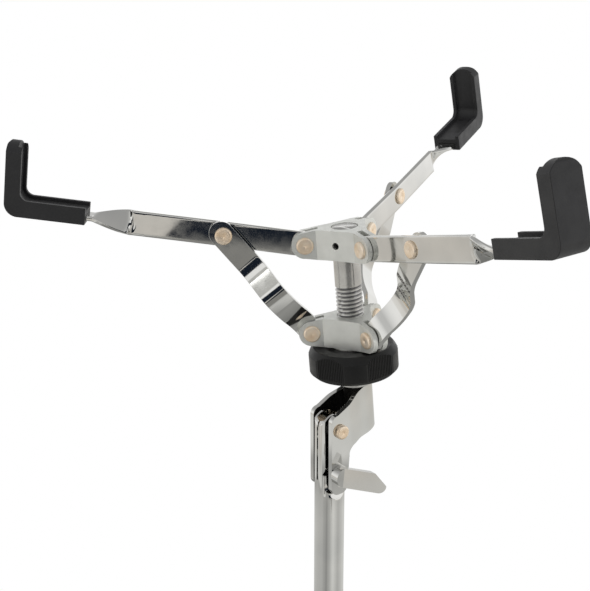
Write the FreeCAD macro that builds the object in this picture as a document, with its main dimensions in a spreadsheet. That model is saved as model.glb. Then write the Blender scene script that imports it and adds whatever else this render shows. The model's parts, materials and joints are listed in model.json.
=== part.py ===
import FreeCAD, Part
import math
import os
import re

import Sketcher
from FreeCAD import Placement, Rotation, Vector

# A snare drum stand: a folding tripod, a telescopic tube, a tilter and a three-armed basket.
# The tube's axis is Z, the floor is z = 0, and the tilter swings in the XZ plane.
# Lengths are in millimetres, angles in degrees.
ARM_COUNT = 3
NUT_LOBE_COUNT = 5
TWIST_STEP_COUNT = 6
SECTOR = 360 / ARM_COUNT

sizes = {
    # Fits, and how far a cut runs past what it cuts
    "running_gap": 0.06,
    "face_gap": 0.1,
    "side_gap": 0.3,
    "overrun": 4,
    # Basket: from the rod's axis and the plane of the upper pins
    "arm_rivet_reach": 49,
    "arm_rise": 11.7,
    "lower_pin_drop": 56.1,
    "basket_turn": 25.8,
    "basket_lean": 5.6,
    # Hub castings of the basket
    "hub_height": 18.4,
    "hub_web_reach": 12.6,
    "hub_web_width": 12.4,
    "hub_throat_reach": 17.5,
    "hub_ear_thickness": 3.2,
    "hub_lobe_radius": 8,
    "hub_pin_reach": 24.4,
    "hub_boss_height": 0.6,
    "set_screw_radius": 2.1,
    "set_screw_length": 2.4,
    "set_screw_socket_radius": 1,
    # Rivets of basket and tripod
    "rivet_radius": 3,
    "rivet_head_radius": 5.2,
    "rivet_head_height": 1.6,
    "rivet_rim_round": 1.2,
    "rivet_dimple_radius": 1.2,
    "rivet_dimple_depth": 0.3,
    # Rod with its thread, and the ring nut above the bracket
    "rod_radius": 8.2,
    "rod_recess": 1,
    "rod_chamfer": 0.8,
    "rod_foot_drop": 113,
    "thread_pitch": 2.5,
    "thread_depth": 1.2,
    "thread_top_drop": 27,
    "thread_foot_drop": 85,
    "ring_nut_radius": 10.4,
    "ring_nut_height": 4.6,
    # Hand nut with its insert and washer
    "washer_radius": 13.4,
    "washer_thickness": 0.8,
    "nut_radius": 27.8,
    "nut_flat_reach": 25.8,
    "nut_height": 17.1,
    "nut_top_radius": 24.8,
    "nut_cone_height": 4.6,
    "nut_foot_chamfer": 2.4,
    "nut_rim": 1.1,
    "nut_recess_radius": 18.5,
    "nut_turn": -16,
    "insert_radius": 11.5,
    # Strips: arms and struts
    "strip_thickness": 3,
    "arm_height": 15.4,
    "arm_offset": 1.2,
    "arm_bend_start": 20,
    "arm_bend_length": 10,
    "arm_straight_length": 104.5,
    "arm_twist_length": 23.5,
    "tongue_width": 12,
    "tongue_height": 0.3,
    "tongue_shift": 2.2,
    "strut_width": 15,
    "strut_bend_start": 27.3,
    "strut_end": 1.9,
    "strut_peak_run": 46.3,
    "strut_peak": 11.5,
    "strut_knee_run": 60.8,
    "strut_knee": 8,
    "strut_foot_run": 72.5,
    "strut_washer_radius": 6,
    # Rubber grips
    "grip_start": 131.5,
    "grip_end": 179.6,
    "grip_width": 18.7,
    "grip_base": 10.2,
    "grip_drop": 3,
    "grip_wall": 9.2,
    "grip_height": 44.3,
    "grip_corner": 8,
    "grip_inner_round": 5,
    "grip_edge": 2.2,
    "grip_arch_rise": 5.6,
    "trough_width": 13.6,
    "trough_depth": 2.4,
    # Tilter bracket, measured from its pivot
    "pivot_offset": 21.5,
    "pivot_drop": 115.2,
    "pivot_height": 475,
    "pivot_radius": 3.5,
    "pivot_head_radius": 4.5,
    "pivot_head_height": 2.8,
    "strap_half_width": 11.6,
    "strap_thickness": 3.5,
    "strap_rise": 23.2,
    "crown_start": 2.5,
    "bend_drop": 7,
    "cheek_front": 6.4,
    "cheek_rise": 11,
    "cheek_drop": 41.5,
    "cheek_lean": 3.8,
    "cheek_foot_width": 12.2,
    "cheek_corner": 5,
    "cheek_back": 5.2,
    "throat_drop": 18,
    "throat_round": 6,
    "clamp_shift": 3.9,
    "clamp_drop": 27.9,
    "bolt_radius": 2.5,
    "bolt_head_radius": 5.2,
    "bolt_head_height": 3,
    "friction_washer_radius": 6,
    # Upper tube with its flattened end
    "tube_radius": 9.525,
    "tube_wall": 1.5,
    "tube_length": 358,
    "flat_half_thickness": 5.5,
    "flat_drop": 39.5,
    "round_drop": 46,
    "slit_width": 1.4,
    "slit_drop": 34,
    "slot_swing": 16.2,
    # Wing bolts and nuts
    "wing_hub_radius": 5.2,
    "wing_hub_length": 10,
    "wing_reach": 26.5,
    "wing_width": 12.4,
    "wing_thickness": 3.4,
    "wing_flare": 45,
    "wing_tip_round": 5,
    "wing_slant_run": 6.5,
    "wing_slant_drop": 8.6,
    "wing_turn": 12,
    "lever_hub_radius": 6.2,
    "lever_hub_length": 6.6,
    "lever_blade_height": 5.4,
    "lever_root": 3,
    "lever_bolt_depth": 4.5,
    # Base tube, its rubber tip, and the bush that guides the upper tube in it
    "base_radius": 12.7,
    "base_wall": 1.5,
    "base_start": 12,
    "base_top": 318,
    "tip_radius": 15,
    "tip_height": 30,
    "tip_round": 3,
    "guide_height": 22,
    "guide_floor": 3,
    "guide_floor_bore": 6,
    # Height clamp
    "clamp_radius": 17.5,
    "clamp_start": 288,
    "clamp_top": 334,
    "clamp_ear_reach": 32,
    "clamp_ear_half_width": 9,
    "clamp_ear_start": 300,
    "clamp_slit": 3,
    "clamp_slit_start": 296,
    "clamp_bolt_reach": 24,
    "bush_wall": 1.6,
    "bush_flange_radius": 13.5,
    "bush_flange_height": 2.4,
    "bush_depth": 14,
    "clamp_nut_half_width": 5.5,
    "clamp_nut_height": 5,
    # Tripod collars
    "collar_height": 20,
    "collar_web_reach": 17,
    "collar_web_width": 15,
    "collar_throat_reach": 21,
    "collar_ear_thickness": 3.6,
    "collar_lobe_radius": 8.5,
    "collar_pin_reach": 28,
    "collar_boss_radius": 8,
    "collar_boss_reach": 25,
    # Tripod legs, braces and feet
    "leg_end_height": 18,
    "leg_spread": 62,
    "leg_link": 90,
    "leg_length": 345,
    "leg_height": 18,
    "brace_thickness": 2.5,
    "brace_width": 14,
    "foot_heel": 26,
    "foot_toe": 15,
    "foot_toe_height": 28,
    "foot_heel_height": 46,
    "foot_round": 7,
    "foot_width": 20,
}

# Land and root of the thread as shares of its pitch
thread_land_share = 0.2
thread_root_share = 0.14

doc = FreeCAD.newDocument("snare_drum_stand")
sheet = doc.addObject("Spreadsheet::Sheet", "Sizes")
for row, (size_name, size_value) in enumerate(sizes.items(), start=1):
    sheet.set(f"A{row}", size_name)
    sheet.set(f"B{row}", str(size_value))
    sheet.setAlias(f"B{row}", size_name)
doc.recompute()
nodes = {}
cuts = []


# Formulas: plain text in the names of the sheet's cells
def formula(text):
    def as_cell(word):
        return "Sizes." + word.group() if word.group() in sizes else word.group()
    return re.sub(r"[a-z_]+", as_cell, text)


def number(text):
    return float(sheet.evalExpression(formula(text)))


# Sketches: every corner and centre is held to the sheet by two distances from the sketch's origin
def new_body(name):
    return doc.addObject("PartDesign::Body", name)


def origin_feature(body, role):
    return next(item for item in body.Origin.OriginFeatures if item.Role == role)


def new_sketch(body, role, shift="0"):
    sketch = body.newObject("Sketcher::SketchObject", body.Name + "_sketch")
    sketch.AttachmentSupport = [(origin_feature(body, role), "")]
    sketch.MapMode = "FlatFace"
    sketch.setExpression("AttachmentOffset.Base.z", formula(shift))
    return sketch


def hold(sketch, kind, items, text):
    index = sketch.addConstraint(Sketcher.Constraint(kind, *items, number(text)))
    name = f"size_{index}"
    sketch.renameConstraint(index, name)
    sketch.setExpression("Constraints." + name, formula(text))


def hold_point(sketch, shape, point, place):
    hold(sketch, "DistanceX", (-1, 1, shape, point), place[0])
    hold(sketch, "DistanceY", (-1, 1, shape, point), place[1])


def arc_middle(start, end, axis, centre, turn):
    """The middle of an arc whose centre has the given x or y; turn is 1 anticlockwise, -1 clockwise."""
    middle = (start + end) / 2
    along = (end - start).normalize()
    left = Vector(-along.y, along.x, 0)
    step = (centre - getattr(middle, axis)) / getattr(left, axis)
    radius = math.hypot(step, (end - start).Length / 2)
    return middle + left * (step - turn * radius)


def outline(sketch, corners, arcs=None):
    """A closed outline. arcs gives, by side, the axis and place of the arc's centre, and its turn."""
    arcs = arcs or {}
    points = [Vector(number(x), number(y), 0) for x, y in corners]
    ends = []
    for side, start in enumerate(points):
        end = points[(side + 1) % len(points)]
        if side in arcs:
            axis, centre, turn = arcs[side]
            edge = Part.Arc(start, arc_middle(start, end, axis, number(centre), turn), end)
        else:
            turn = 1
            edge = Part.LineSegment(start, end)
        shape = sketch.addGeometry(edge, False)
        ends.append((shape, 1, 2) if turn > 0 else (shape, 2, 1))
    for side, (shape, first, last) in enumerate(ends):
        after, after_first, after_last = ends[(side + 1) % len(ends)]
        sketch.addConstraint(Sketcher.Constraint("Coincident", shape, last, after, after_first))
        hold_point(sketch, shape, first, corners[side])
    for side, (axis, centre, turn) in arcs.items():
        hold(sketch, "Distance" + axis.upper(), (-1, 1, ends[side][0], 3), centre)
    return sketch


def rectangle(sketch, low, high):
    return outline(sketch, [low, (high[0], low[1]), high, (low[0], high[1])])


def circle(sketch, centre, radius):
    middle = Vector(number(centre[0]), number(centre[1]), 0)
    shape = sketch.addGeometry(Part.Circle(middle, Vector(0, 0, 1), number(radius)), False)
    hold_point(sketch, shape, 3, centre)
    hold(sketch, "Radius", (shape,), radius)
    return sketch


# Features
def pad(sketch, length, both=True, back=False):
    feature = sketch.getParentGeoFeatureGroup().newObject("PartDesign::Pad", "pad")
    feature.Profile = sketch
    feature.setExpression("Length", formula(length))
    feature.Midplane = both
    feature.Reversed = back
    return feature


def pocket(sketch, length=None, both=True, back=False):
    feature = sketch.getParentGeoFeatureGroup().newObject("PartDesign::Pocket", "pocket")
    feature.Profile = sketch
    if length:
        feature.setExpression("Length", formula(length))
    else:
        feature.Type = "ThroughAll"
    feature.Midplane = both
    feature.Reversed = back
    cuts.append(feature)
    return feature


def revolve(sketch):
    feature = sketch.getParentGeoFeatureGroup().newObject("PartDesign::Revolution", "turned")
    feature.Profile = sketch
    feature.ReferenceAxis = (sketch, ["V_Axis"])
    return feature


def around(body, features, count):
    pattern = body.newObject("PartDesign::PolarPattern", "around")
    pattern.Originals = features
    pattern.Axis = (origin_feature(body, "Z_Axis"), [""])
    pattern.Occurrences = count
    body.Tip = pattern


def loft(body, sections):
    feature = body.newObject("PartDesign::AdditiveLoft", "loft")
    feature.Profile = sections[0]
    feature.Sections = sections[1:]
    feature.Ruled = True
    return feature


def round_edges(body, radius, wanted):
    """Rounds the edges of the body's tip for which wanted is true."""
    doc.recompute()
    tip = body.Tip
    names = [f"Edge{i}" for i, edge in enumerate(tip.Shape.Edges, start=1) if wanted(edge)]
    feature = body.newObject("PartDesign::Fillet", "round")
    feature.Base = (tip, names)
    feature.setExpression("Radius", formula(radius))


def keep(label, thing, placement):
    thing.Label = label
    thing.Placement = placement
    nodes[label] = thing
    return thing


def group(label, things):
    compound = doc.addObject("Part::Compound", label)
    compound.Links = things
    return keep(label, compound, Placement())


def cut_away(label, solid, tool, placement):
    solid.Placement = placement
    cut = doc.addObject("Part::Cut", label)
    cut.Base = solid
    cut.Tool = tool
    cut.Refine = True
    cut.Label = label
    nodes[label] = cut


# Frames of the assembly
def turned(axis, angle):
    return Placement(Vector(), Rotation(axis, angle))


def moved(x="0", y="0", z="0"):
    return Placement(Vector(number(x), number(y), number(z)), Rotation())


X_AXIS = Vector(1, 0, 0)
Y_AXIS = Vector(0, 1, 0)
Z_AXIS = Vector(0, 0, 1)
ALONG_Y = turned(X_AXIS, -90)
pivot_frame = moved(z="pivot_height")
basket_frame = pivot_frame * turned(Y_AXIS, -number("basket_lean")) * moved("pivot_offset", "0", "pivot_drop")
hub_frame = basket_frame * turned(Z_AXIS, number("basket_turn"))
lower_hub_frame = hub_frame * moved(z="-lower_pin_drop")


def sector_frame(frame, index):
    return frame * turned(Z_AXIS, SECTOR * index)


# Sizes that several pieces share
STRUT_OFFSET = "(strip_thickness + side_gap)"
STRUT_RUN = "(arm_rivet_reach * cos(arm_rise))"
STRUT_DROP = "(arm_rivet_reach * sin(arm_rise) + lower_pin_drop)"
STRUT_LENGTH = f"sqrt({STRUT_RUN}^2 + {STRUT_DROP}^2)"
STRAP_INNER = "(strap_half_width - strap_thickness)"
SLOT_WIDTH = "(strip_thickness + 2 * side_gap)"
NUT_TOP_DROP = "(lower_pin_drop + hub_height / 2 + hub_boss_height + washer_thickness + 2 * face_gap)"
BRACE_SHIFT = "(strip_thickness / 2 + side_gap + brace_thickness / 2)"
BRACE_SLOT = "(brace_thickness + 2 * side_gap)"
LEG_PIN_HEIGHT = "(leg_end_height + leg_length * cos(leg_spread))"
BRACE_PIN_HEIGHT = f"({LEG_PIN_HEIGHT} - 2 * leg_link * cos(leg_spread))"
GUIDE_BORE = "(tube_radius + running_gap)"


# A casting with three forks: the two hubs of the basket and the two collars of the tripod
def forked_casting(name, kind, bore, slot, end_radius, shift="0"):
    body = new_body(name)
    half = SECTOR / 2
    ear = f"({slot} / 2 + {kind}_ear_thickness)"
    tip = f"({kind}_pin_reach + {kind}_lobe_radius)"
    web_x = f"{kind}_web_reach * cos({half})"
    web_y = f"{kind}_web_reach * sin({half})"
    edge_x = f"({web_x} + {kind}_web_width / 2 * sin({half}))"
    edge_y = f"({web_y} - {kind}_web_width / 2 * cos({half}))"
    throat = f"{kind}_throat_reach"
    star = pad(outline(new_sketch(body, "XY_Plane"), [
        ("0", "0"), (web_x, "-" + web_y), (edge_x, "-" + edge_y), (throat, f"{shift} - {ear}"),
        (tip, f"{shift} - {ear}"), (tip, f"{shift} + {ear}"), (throat, f"{shift} + {ear}"),
        (edge_x, edge_y), (web_x, web_y)]), f"{kind}_height")
    top = f"{kind}_height / 2"
    past_top = f"({kind}_height / 2 + overrun)"
    past_tip = f"({tip} + overrun)"
    lobe = pocket(outline(new_sketch(body, "XZ_Plane"), [
        (throat, top), (f"{kind}_pin_reach", f"{kind}_lobe_radius"),
        (f"{kind}_pin_reach", f"-{kind}_lobe_radius"), (throat, "-" + top), (throat, "-" + past_top),
        (past_tip, "-" + past_top), (past_tip, past_top), (throat, past_top)],
        {1: ("x", f"{kind}_pin_reach", -1)}), f"4 * ({ear} + abs({shift}))")
    slot_root = f"({kind}_pin_reach - {end_radius} - 2 * side_gap)"
    gap = pocket(rectangle(new_sketch(body, "XY_Plane"),
                           (slot_root, f"{shift} - {slot} / 2"), (past_tip, f"{shift} + {slot} / 2")))
    pin_hole = circle(new_sketch(body, "XZ_Plane"), (f"{kind}_pin_reach", "0"), "rivet_radius + running_gap")
    hole = pocket(pin_hole, f"4 * ({ear} + abs({shift}))")
    around(body, [star, lobe, gap, hole], ARM_COUNT)
    pocket(circle(new_sketch(body, "XY_Plane"), ("0", "0"), bore))
    return body


# A rivet along Z, its shank from z = 0 to length; a stub has one head only.
# The heads are flat-faced with a round rim, dimpled by the riveting tool.
def rivet(name, length, placement, stub=False, kind="rivet"):
    body = new_body(name)
    radius = "rivet_radius" if kind == "rivet" else f"{kind}_radius"
    head = f"{kind}_head_radius"
    rise = f"{kind}_head_height"
    face = f"({head} - rivet_rim_round)"
    far = [(radius, length), (head, length), (head, f"{length} + {rise} - rivet_rim_round"),
           (face, f"{length} + {rise}"),
           ("rivet_dimple_radius", f"{length} + {rise}"), ("0", f"{length} + {rise} - rivet_dimple_depth")]
    if stub:
        corners = [("0", "0"), (radius, "0")] + far
        arcs = {4: ("x", face, 1)}
    else:
        corners = [("0", f"rivet_dimple_depth - {rise}"), ("rivet_dimple_radius", f"-{rise}"),
                   (face, f"-{rise}"), (head, f"rivet_rim_round - {rise}"), (head, "0"), (radius, "0")] + far
        arcs = {2: ("x", face, 1), 8: ("x", face, 1)}
    revolve(outline(new_sketch(body, "XZ_Plane"), corners, arcs))
    body.Placement = placement
    return body


# A ring about Z between two heights
def ring(name, outer, inner, low, high):
    body = new_body(name)
    sketch = circle(new_sketch(body, "XY_Plane", low), ("0", "0"), outer)
    pad(circle(sketch, ("0", "0"), inner), f"{high} - ({low})", both=False)
    return body


# A strip along X, bent sideways along a line of stations; its thickness is along Y
def slope(start, end):
    return f"(atan(({end[1]} - ({start[1]})) / ({end[0]} - ({start[0]}))) / 1 deg)"


def bent_face(stations, side):
    """One face of the bent strip, half a thickness from the stations and mitred at each bend."""
    slopes = [slope(first, second) for first, second in zip(stations, stations[1:])]
    face = []
    for (x, y), before, after in zip(stations, [slopes[0]] + slopes, slopes + [slopes[-1]]):
        reach = f"{side}strip_thickness / 2 / cos(({after} - {before}) / 2)"
        face.append((f"{x} - ({reach}) * sin(({before} + {after}) / 2)",
                     f"{y} + ({reach}) * cos(({before} + {after}) / 2)"))
    return face


def bent_strip(body, width, low_x, high_x, bends, room, round_end):
    half = f"{width} / 2"
    arcs = {3: ("x", low_x, 1)}
    if round_end:
        arcs[1] = ("x", high_x, 1)
    pad(outline(new_sketch(body, "XZ_Plane"), [
        (low_x, "-" + half), (high_x, "-" + half), (high_x, half), (low_x, half)], arcs), f"2 * ({room})")
    stations = [(f"{low_x} - {width}", bends[0][1])] + bends + [(f"{high_x} + {width}", bends[-1][1])]
    sides = new_sketch(body, "XY_Plane")
    for side in ("", "-"):
        face = bent_face(stations, side)
        far = f"{side}({room} + overrun)"
        outline(sides, face + [(face[-1][0], far), (face[0][0], far)])
    pocket(sides)


def cross_holes(body, places):
    sketch = new_sketch(body, "XZ_Plane")
    for place in places:
        circle(sketch, place, "rivet_radius + running_gap")
    pocket(sketch)


# Hub and blades of a wing bolt or lever nut: the axis is Y, the hub runs from y = 0 towards -Y, the blades flare out.
# Each blade's tip is cut off at a slant on the side that the thumb pushes.
def bladed_hub(name, hub, root, height, sides):
    body = new_body(name)
    pad(circle(new_sketch(body, "XZ_Plane"), ("0", "0"), f"{hub}_radius"), f"{hub}_length", both=False)
    for side in sides:
        points = []
        for run, thick in ((root, "-"), ("wing_reach", "-"), ("wing_reach", ""), (root, "")):
            half = f"{thick or '+'} wing_thickness / 2"
            points.append((f"{side}({run} * cos(wing_flare) {half} * sin(wing_flare))",
                           f"-{height} - {run} * sin(wing_flare) {half} * cos(wing_flare)"))
        pad(outline(new_sketch(body, "XY_Plane"), points), "wing_width")
    far = number("wing_reach * cos(wing_flare) / 2")

    def at_tip(edge):
        flat = abs(edge.Vertexes[0].Z - edge.Vertexes[-1].Z) < number("running_gap")
        across = edge.Length < number("wing_thickness + running_gap")
        return flat and across and abs(edge.CenterOfMass.x) > far
    round_edges(body, "wing_tip_round", at_tip)
    slants = new_sketch(body, "XZ_Plane")
    corner = "(wing_reach * cos(wing_flare) - wing_slant_run)"
    past_tip = f"({corner} + wing_slant_run + wing_thickness)"
    fall = "(wing_slant_drop * (1 + wing_thickness / wing_slant_run))"
    for side in sides:
        outline(slants, [
            (f"{side}{corner}", f"{side}wing_width / 2"), (f"{side}{past_tip}", f"{side}(wing_width / 2 - {fall})"),
            (f"{side}{past_tip}", f"{side}(wing_width / 2 + overrun)"),
            (f"{side}{corner}", f"{side}(wing_width / 2 + overrun)")])
    pocket(slants)
    return body


def wing_bolt(name, shank):
    body = bladed_hub(name, "wing_hub", "0", "wing_hub_length / 2", ("", "-"))
    pad(circle(new_sketch(body, "XZ_Plane"), ("0", "0"), "bolt_radius"), shank, both=False, back=True)
    return body


def lever_nut(name):
    body = bladed_hub(name, "lever_hub", "-lever_root", "lever_blade_height", ("",))
    pocket(circle(new_sketch(body, "XZ_Plane"), ("0", "0"), "bolt_radius + running_gap"), "2 * lever_bolt_depth")
    return body


# Base tube with its rubber tip, which touches the floor
def base():
    tube = ring("base_tube", "base_radius", "base_radius - base_wall", "base_start", "base_top")
    keep("base_tube", tube, Placement())
    tip = new_body("base_tip")
    revolve(outline(new_sketch(tip, "XZ_Plane"), [
        ("0", "0"), ("tip_radius - tip_round", "0"), ("tip_radius", "tip_round"),
        ("tip_radius", "tip_height"), ("base_radius + running_gap", "tip_height"),
        ("base_radius + running_gap", "base_start"), ("0", "base_start")],
        {1: ("x", "tip_radius - tip_round", 1)}))
    keep("base_tip", tip, Placement())


# Fixed collar of the braces, its rivets and its screw
def brace_collar():
    frame = moved(z=BRACE_PIN_HEIGHT)
    body = forked_casting("brace_collar", "collar", "base_radius + running_gap", BRACE_SLOT,
                          "brace_width / 2", BRACE_SHIFT)
    pocket(circle(new_sketch(body, "YZ_Plane"), ("0", "0"), "set_screw_radius + running_gap"),
           "collar_web_reach + overrun", both=False)
    keep("brace_collar", body, frame)
    screw("brace_collar_screw", "base_radius", "collar_web_reach", frame)
    length = f"{BRACE_SLOT} + 2 * collar_ear_thickness"
    start = moved("collar_pin_reach", f"{BRACE_SHIFT} - {BRACE_SLOT} / 2 - collar_ear_thickness") * ALONG_Y
    group("brace_collar_rivets", [
        rivet("brace_collar_rivet", length, sector_frame(frame, index) * start)
        for index in range(ARM_COUNT)])


# A set screw along -X with a socket in its outer end, from the shaft it presses on
def screw(label, shaft_radius, reach, frame):
    body = new_body(label)
    sketch = circle(new_sketch(body, "YZ_Plane"), ("0", "0"), "set_screw_radius")
    length = "set_screw_length" if label == "hub_set_screw" else f"{reach} - {shaft_radius}"
    pad(sketch, length, both=False, back=True)
    pocket(circle(new_sketch(body, "YZ_Plane", f"-({length})"), ("0", "0"), "set_screw_socket_radius"),
           "set_screw_length / 2", both=False, back=True)
    keep(label, body, frame * moved(f"-({shaft_radius} + running_gap)"))


# Sliding collar of the legs: half pins in its ears, and a wing bolt that locks it on the tube
def leg_collar():
    frame = moved(z=LEG_PIN_HEIGHT)
    body = forked_casting("leg_collar", "collar", "base_radius + running_gap", SLOT_WIDTH, "leg_height / 2")
    boss = circle(new_sketch(body, "YZ_Plane", "-(base_radius + collar_web_reach) / 2"), ("0", "0"),
                  "collar_boss_radius")
    pad(boss, "collar_boss_reach - (base_radius + collar_web_reach) / 2", both=False, back=True)
    pocket(circle(new_sketch(body, "YZ_Plane"), ("0", "0"), "bolt_radius + running_gap"),
           "collar_boss_reach + overrun", both=False)
    keep("leg_collar", body, frame)
    stubs = []
    for index in range(ARM_COUNT):
        for side in (0, 180):
            place = moved("collar_pin_reach") * turned(X_AXIS, side) * moved(y=f"{SLOT_WIDTH} / 2") * ALONG_Y
            stubs.append(rivet("leg_collar_pin", "collar_ear_thickness",
                               sector_frame(frame, index) * place, stub=True))
    group("leg_collar_pins", stubs)
    shank = "collar_boss_reach + face_gap - base_radius - side_gap"
    keep("leg_wing_bolt", wing_bolt("leg_wing_bolt", shank),
         frame * moved("-(collar_boss_reach + face_gap)") * turned(Z_AXIS, -90))


# One leg with its rubber foot, its brace and the rivet between them
def leg(index):
    plane = sector_frame(Placement(), index)
    name = str(index + 1)
    slant = 90 - number("leg_spread")
    leg_frame = plane * moved("collar_pin_reach", "0", LEG_PIN_HEIGHT) * turned(Y_AXIS, slant)
    strip = new_body("leg_" + name)
    half = "leg_height / 2"
    pad(outline(new_sketch(strip, "XZ_Plane"), [
        ("0", "-" + half), ("leg_length", "-" + half), ("leg_length", half), ("0", half)],
        {3: ("x", "0", 1)}), "strip_thickness")
    cross_holes(strip, [("0", "0"), ("leg_link", "0")])
    keep("leg_" + name, strip, leg_frame)
    foot = new_body("foot_solid_" + name)
    reach = "(collar_pin_reach + leg_length * sin(leg_spread))"
    pad(outline(new_sketch(foot, "XZ_Plane"), [
        (f"{reach} - foot_heel", "0"), (f"{reach} + foot_toe - foot_round", "0"),
        (f"{reach} + foot_toe", "foot_round"), (f"{reach} + foot_toe", "foot_toe_height"),
        (f"{reach} - foot_heel", "foot_heel_height")],
        {1: ("x", f"{reach} + foot_toe - foot_round", 1)}), "foot_width")
    cut_away("foot_" + name, foot, strip, plane)
    start = moved("leg_link", "-strip_thickness / 2") * ALONG_Y
    length = "strip_thickness + brace_thickness + 2 * side_gap"
    keep("leg_rivet_" + name, rivet("leg_rivet_" + name, length, Placement()), leg_frame * start)
    brace = new_body("brace_" + name)
    flat = "brace_width / 2"
    pad(outline(new_sketch(brace, "XZ_Plane", f"-{BRACE_SHIFT}"), [
        ("0", "-" + flat), ("leg_link", "-" + flat), ("leg_link", flat), ("0", flat)],
        {1: ("x", "leg_link", 1), 3: ("x", "0", 1)}), "brace_thickness")
    cross_holes(brace, [("0", "0"), ("leg_link", "0")])
    keep("brace_" + name, brace,
         plane * moved("collar_pin_reach", "0", BRACE_PIN_HEIGHT) * turned(Y_AXIS, -slant))


# Split clamp at the top of the base tube, with its bush, wing bolt and nut
def height_clamp():
    body = new_body("height_collar")
    height = "clamp_top - clamp_start"
    pad(circle(new_sketch(body, "XY_Plane", "clamp_start"), ("0", "0"), "clamp_radius"), height, both=False)
    ear = rectangle(new_sketch(body, "XY_Plane", "clamp_ear_start"),
                    ("0", "-clamp_ear_half_width"), ("clamp_ear_reach", "clamp_ear_half_width"))
    pad(ear, "clamp_top - clamp_ear_start", both=False)
    pocket(circle(new_sketch(body, "XY_Plane", "clamp_start"), ("0", "0"), "base_radius + running_gap"),
           "base_top - clamp_start", both=False, back=True)
    inner = GUIDE_BORE
    outer = f"{GUIDE_BORE} + bush_wall"
    pocket(circle(new_sketch(body, "XY_Plane"), ("0", "0"), outer + " + running_gap"))
    slit = rectangle(new_sketch(body, "XY_Plane", "clamp_slit_start"),
                     ("0", "-clamp_slit / 2"), ("clamp_ear_reach + overrun", "clamp_slit / 2"))
    pocket(slit, "clamp_top - clamp_slit_start + overrun", both=False, back=True)
    bolt = ("clamp_bolt_reach", "(clamp_top + clamp_ear_start) / 2")
    pocket(circle(new_sketch(body, "XZ_Plane"), bolt, "bolt_radius + running_gap"))
    keep("height_collar", body, Placement())
    bush = new_body("height_bush")
    revolve(outline(new_sketch(bush, "XZ_Plane"), [
        (inner, "clamp_top - bush_depth"), (outer, "clamp_top - bush_depth"), (outer, "clamp_top"),
        ("bush_flange_radius", "clamp_top"), ("bush_flange_radius", "clamp_top + bush_flange_height"),
        (inner, "clamp_top + bush_flange_height")]))
    keep("height_bush", bush, Placement())
    bolt_frame = moved(bolt[0], "0", bolt[1])
    shank = "2 * clamp_ear_half_width + face_gap + clamp_nut_height"
    keep("height_wing_bolt", wing_bolt("height_wing_bolt", shank),
         bolt_frame * moved(y="-(clamp_ear_half_width + face_gap)"))
    nut = new_body("height_clamp_nut")
    side = "clamp_nut_half_width"
    square = rectangle(new_sketch(nut, "XZ_Plane"), ("-" + side, "-" + side), (side, side))
    pad(circle(square, ("0", "0"), "bolt_radius + running_gap"), "clamp_nut_height", both=False, back=True)
    keep("height_clamp_nut", nut, bolt_frame * moved(y="clamp_ear_half_width"))


# Upper tube: round below, pressed flat on two sides and slit at the top, where the tilter grips it
def tube_form(name, wall):
    """The tube's outer form, or with a wall its bore: each flat runs out on a slope."""
    body = new_body(name)
    radius = f"(tube_radius - {wall})"
    flat = f"(flat_half_thickness - {wall})"
    past = f"({radius} + overrun)"
    slope = "(round_drop - flat_drop) / (tube_radius - flat_half_thickness)"
    pad(circle(new_sketch(body, "XY_Plane", "-tube_length"), ("0", "0"), radius),
        "tube_length + tube_radius", both=False)
    flats = new_sketch(body, "YZ_Plane")
    for side in ("", "-"):
        outline(flats, [
            (side + flat, past), (side + flat, "-flat_drop"),
            (side + past, f"-flat_drop - ({past} - {flat}) * {slope}"), (side + past, past)])
    pocket(flats)
    return body


def upper_tube():
    hollow = doc.addObject("Part::Cut", "hollow_tube")
    hollow.Base = tube_form("tube_outside", "0")
    hollow.Tool = tube_form("tube_inside", "tube_wall")
    trim = new_body("tube_trim")
    past = "(tube_radius + overrun)"
    pad(outline(new_sketch(trim, "XZ_Plane"), [
        ("-tube_radius", "0"), ("tube_radius", "0"), (past, "0"), (past, past), ("-" + past, past),
        ("-" + past, "0")], {0: ("y", "0", -1)}), "4 * flat_half_thickness")
    holes = new_body("tube_holes")
    pivot_hole = circle(new_sketch(holes, "XZ_Plane"), ("0", "0"), "pivot_radius + running_gap")
    pad(pivot_hole, "4 * flat_half_thickness")
    reach = "sqrt(clamp_shift^2 + clamp_drop^2)"
    room = "(bolt_radius + side_gap)"
    near = f"({reach} - {room})"
    far = f"({reach} + {room})"
    corners = []
    for radius, side in ((near, "-"), (near, ""), (far, ""), (far, "-")):
        corners.append((f"{side}{radius} * sin(slot_swing)", f"-{radius} * cos(slot_swing)"))
    slot = new_body("tube_slot")
    pad(outline(new_sketch(slot, "XZ_Plane"), corners, {0: ("y", "0", 1), 2: ("y", "0", -1)}),
        "4 * flat_half_thickness")
    slit = new_body("tube_slit")
    pad(rectangle(new_sketch(slit, "XZ_Plane"), ("-" + past, "-slit_drop"), (past, past)), "slit_width")
    cut = doc.addObject("Part::Cut", "upper_tube")
    cut.Base = hollow
    cut.Tool = doc.addObject("Part::MultiFuse", "tube_cuts")
    cut.Tool.Shapes = [trim, holes, slot, slit]
    keep("upper_tube", cut, pivot_frame)
    guide = new_body("guide_bush")
    outer = "base_radius - base_wall - running_gap"
    revolve(outline(new_sketch(guide, "XZ_Plane"), [
        ("guide_floor_bore", "-guide_floor"), (outer, "-guide_floor"), (outer, "guide_height"),
        (GUIDE_BORE, "guide_height"), (GUIDE_BORE, "0"), ("guide_floor_bore", "0")]))
    keep("guide_bush", guide, pivot_frame * moved(z="-(tube_length + face_gap)"))


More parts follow.
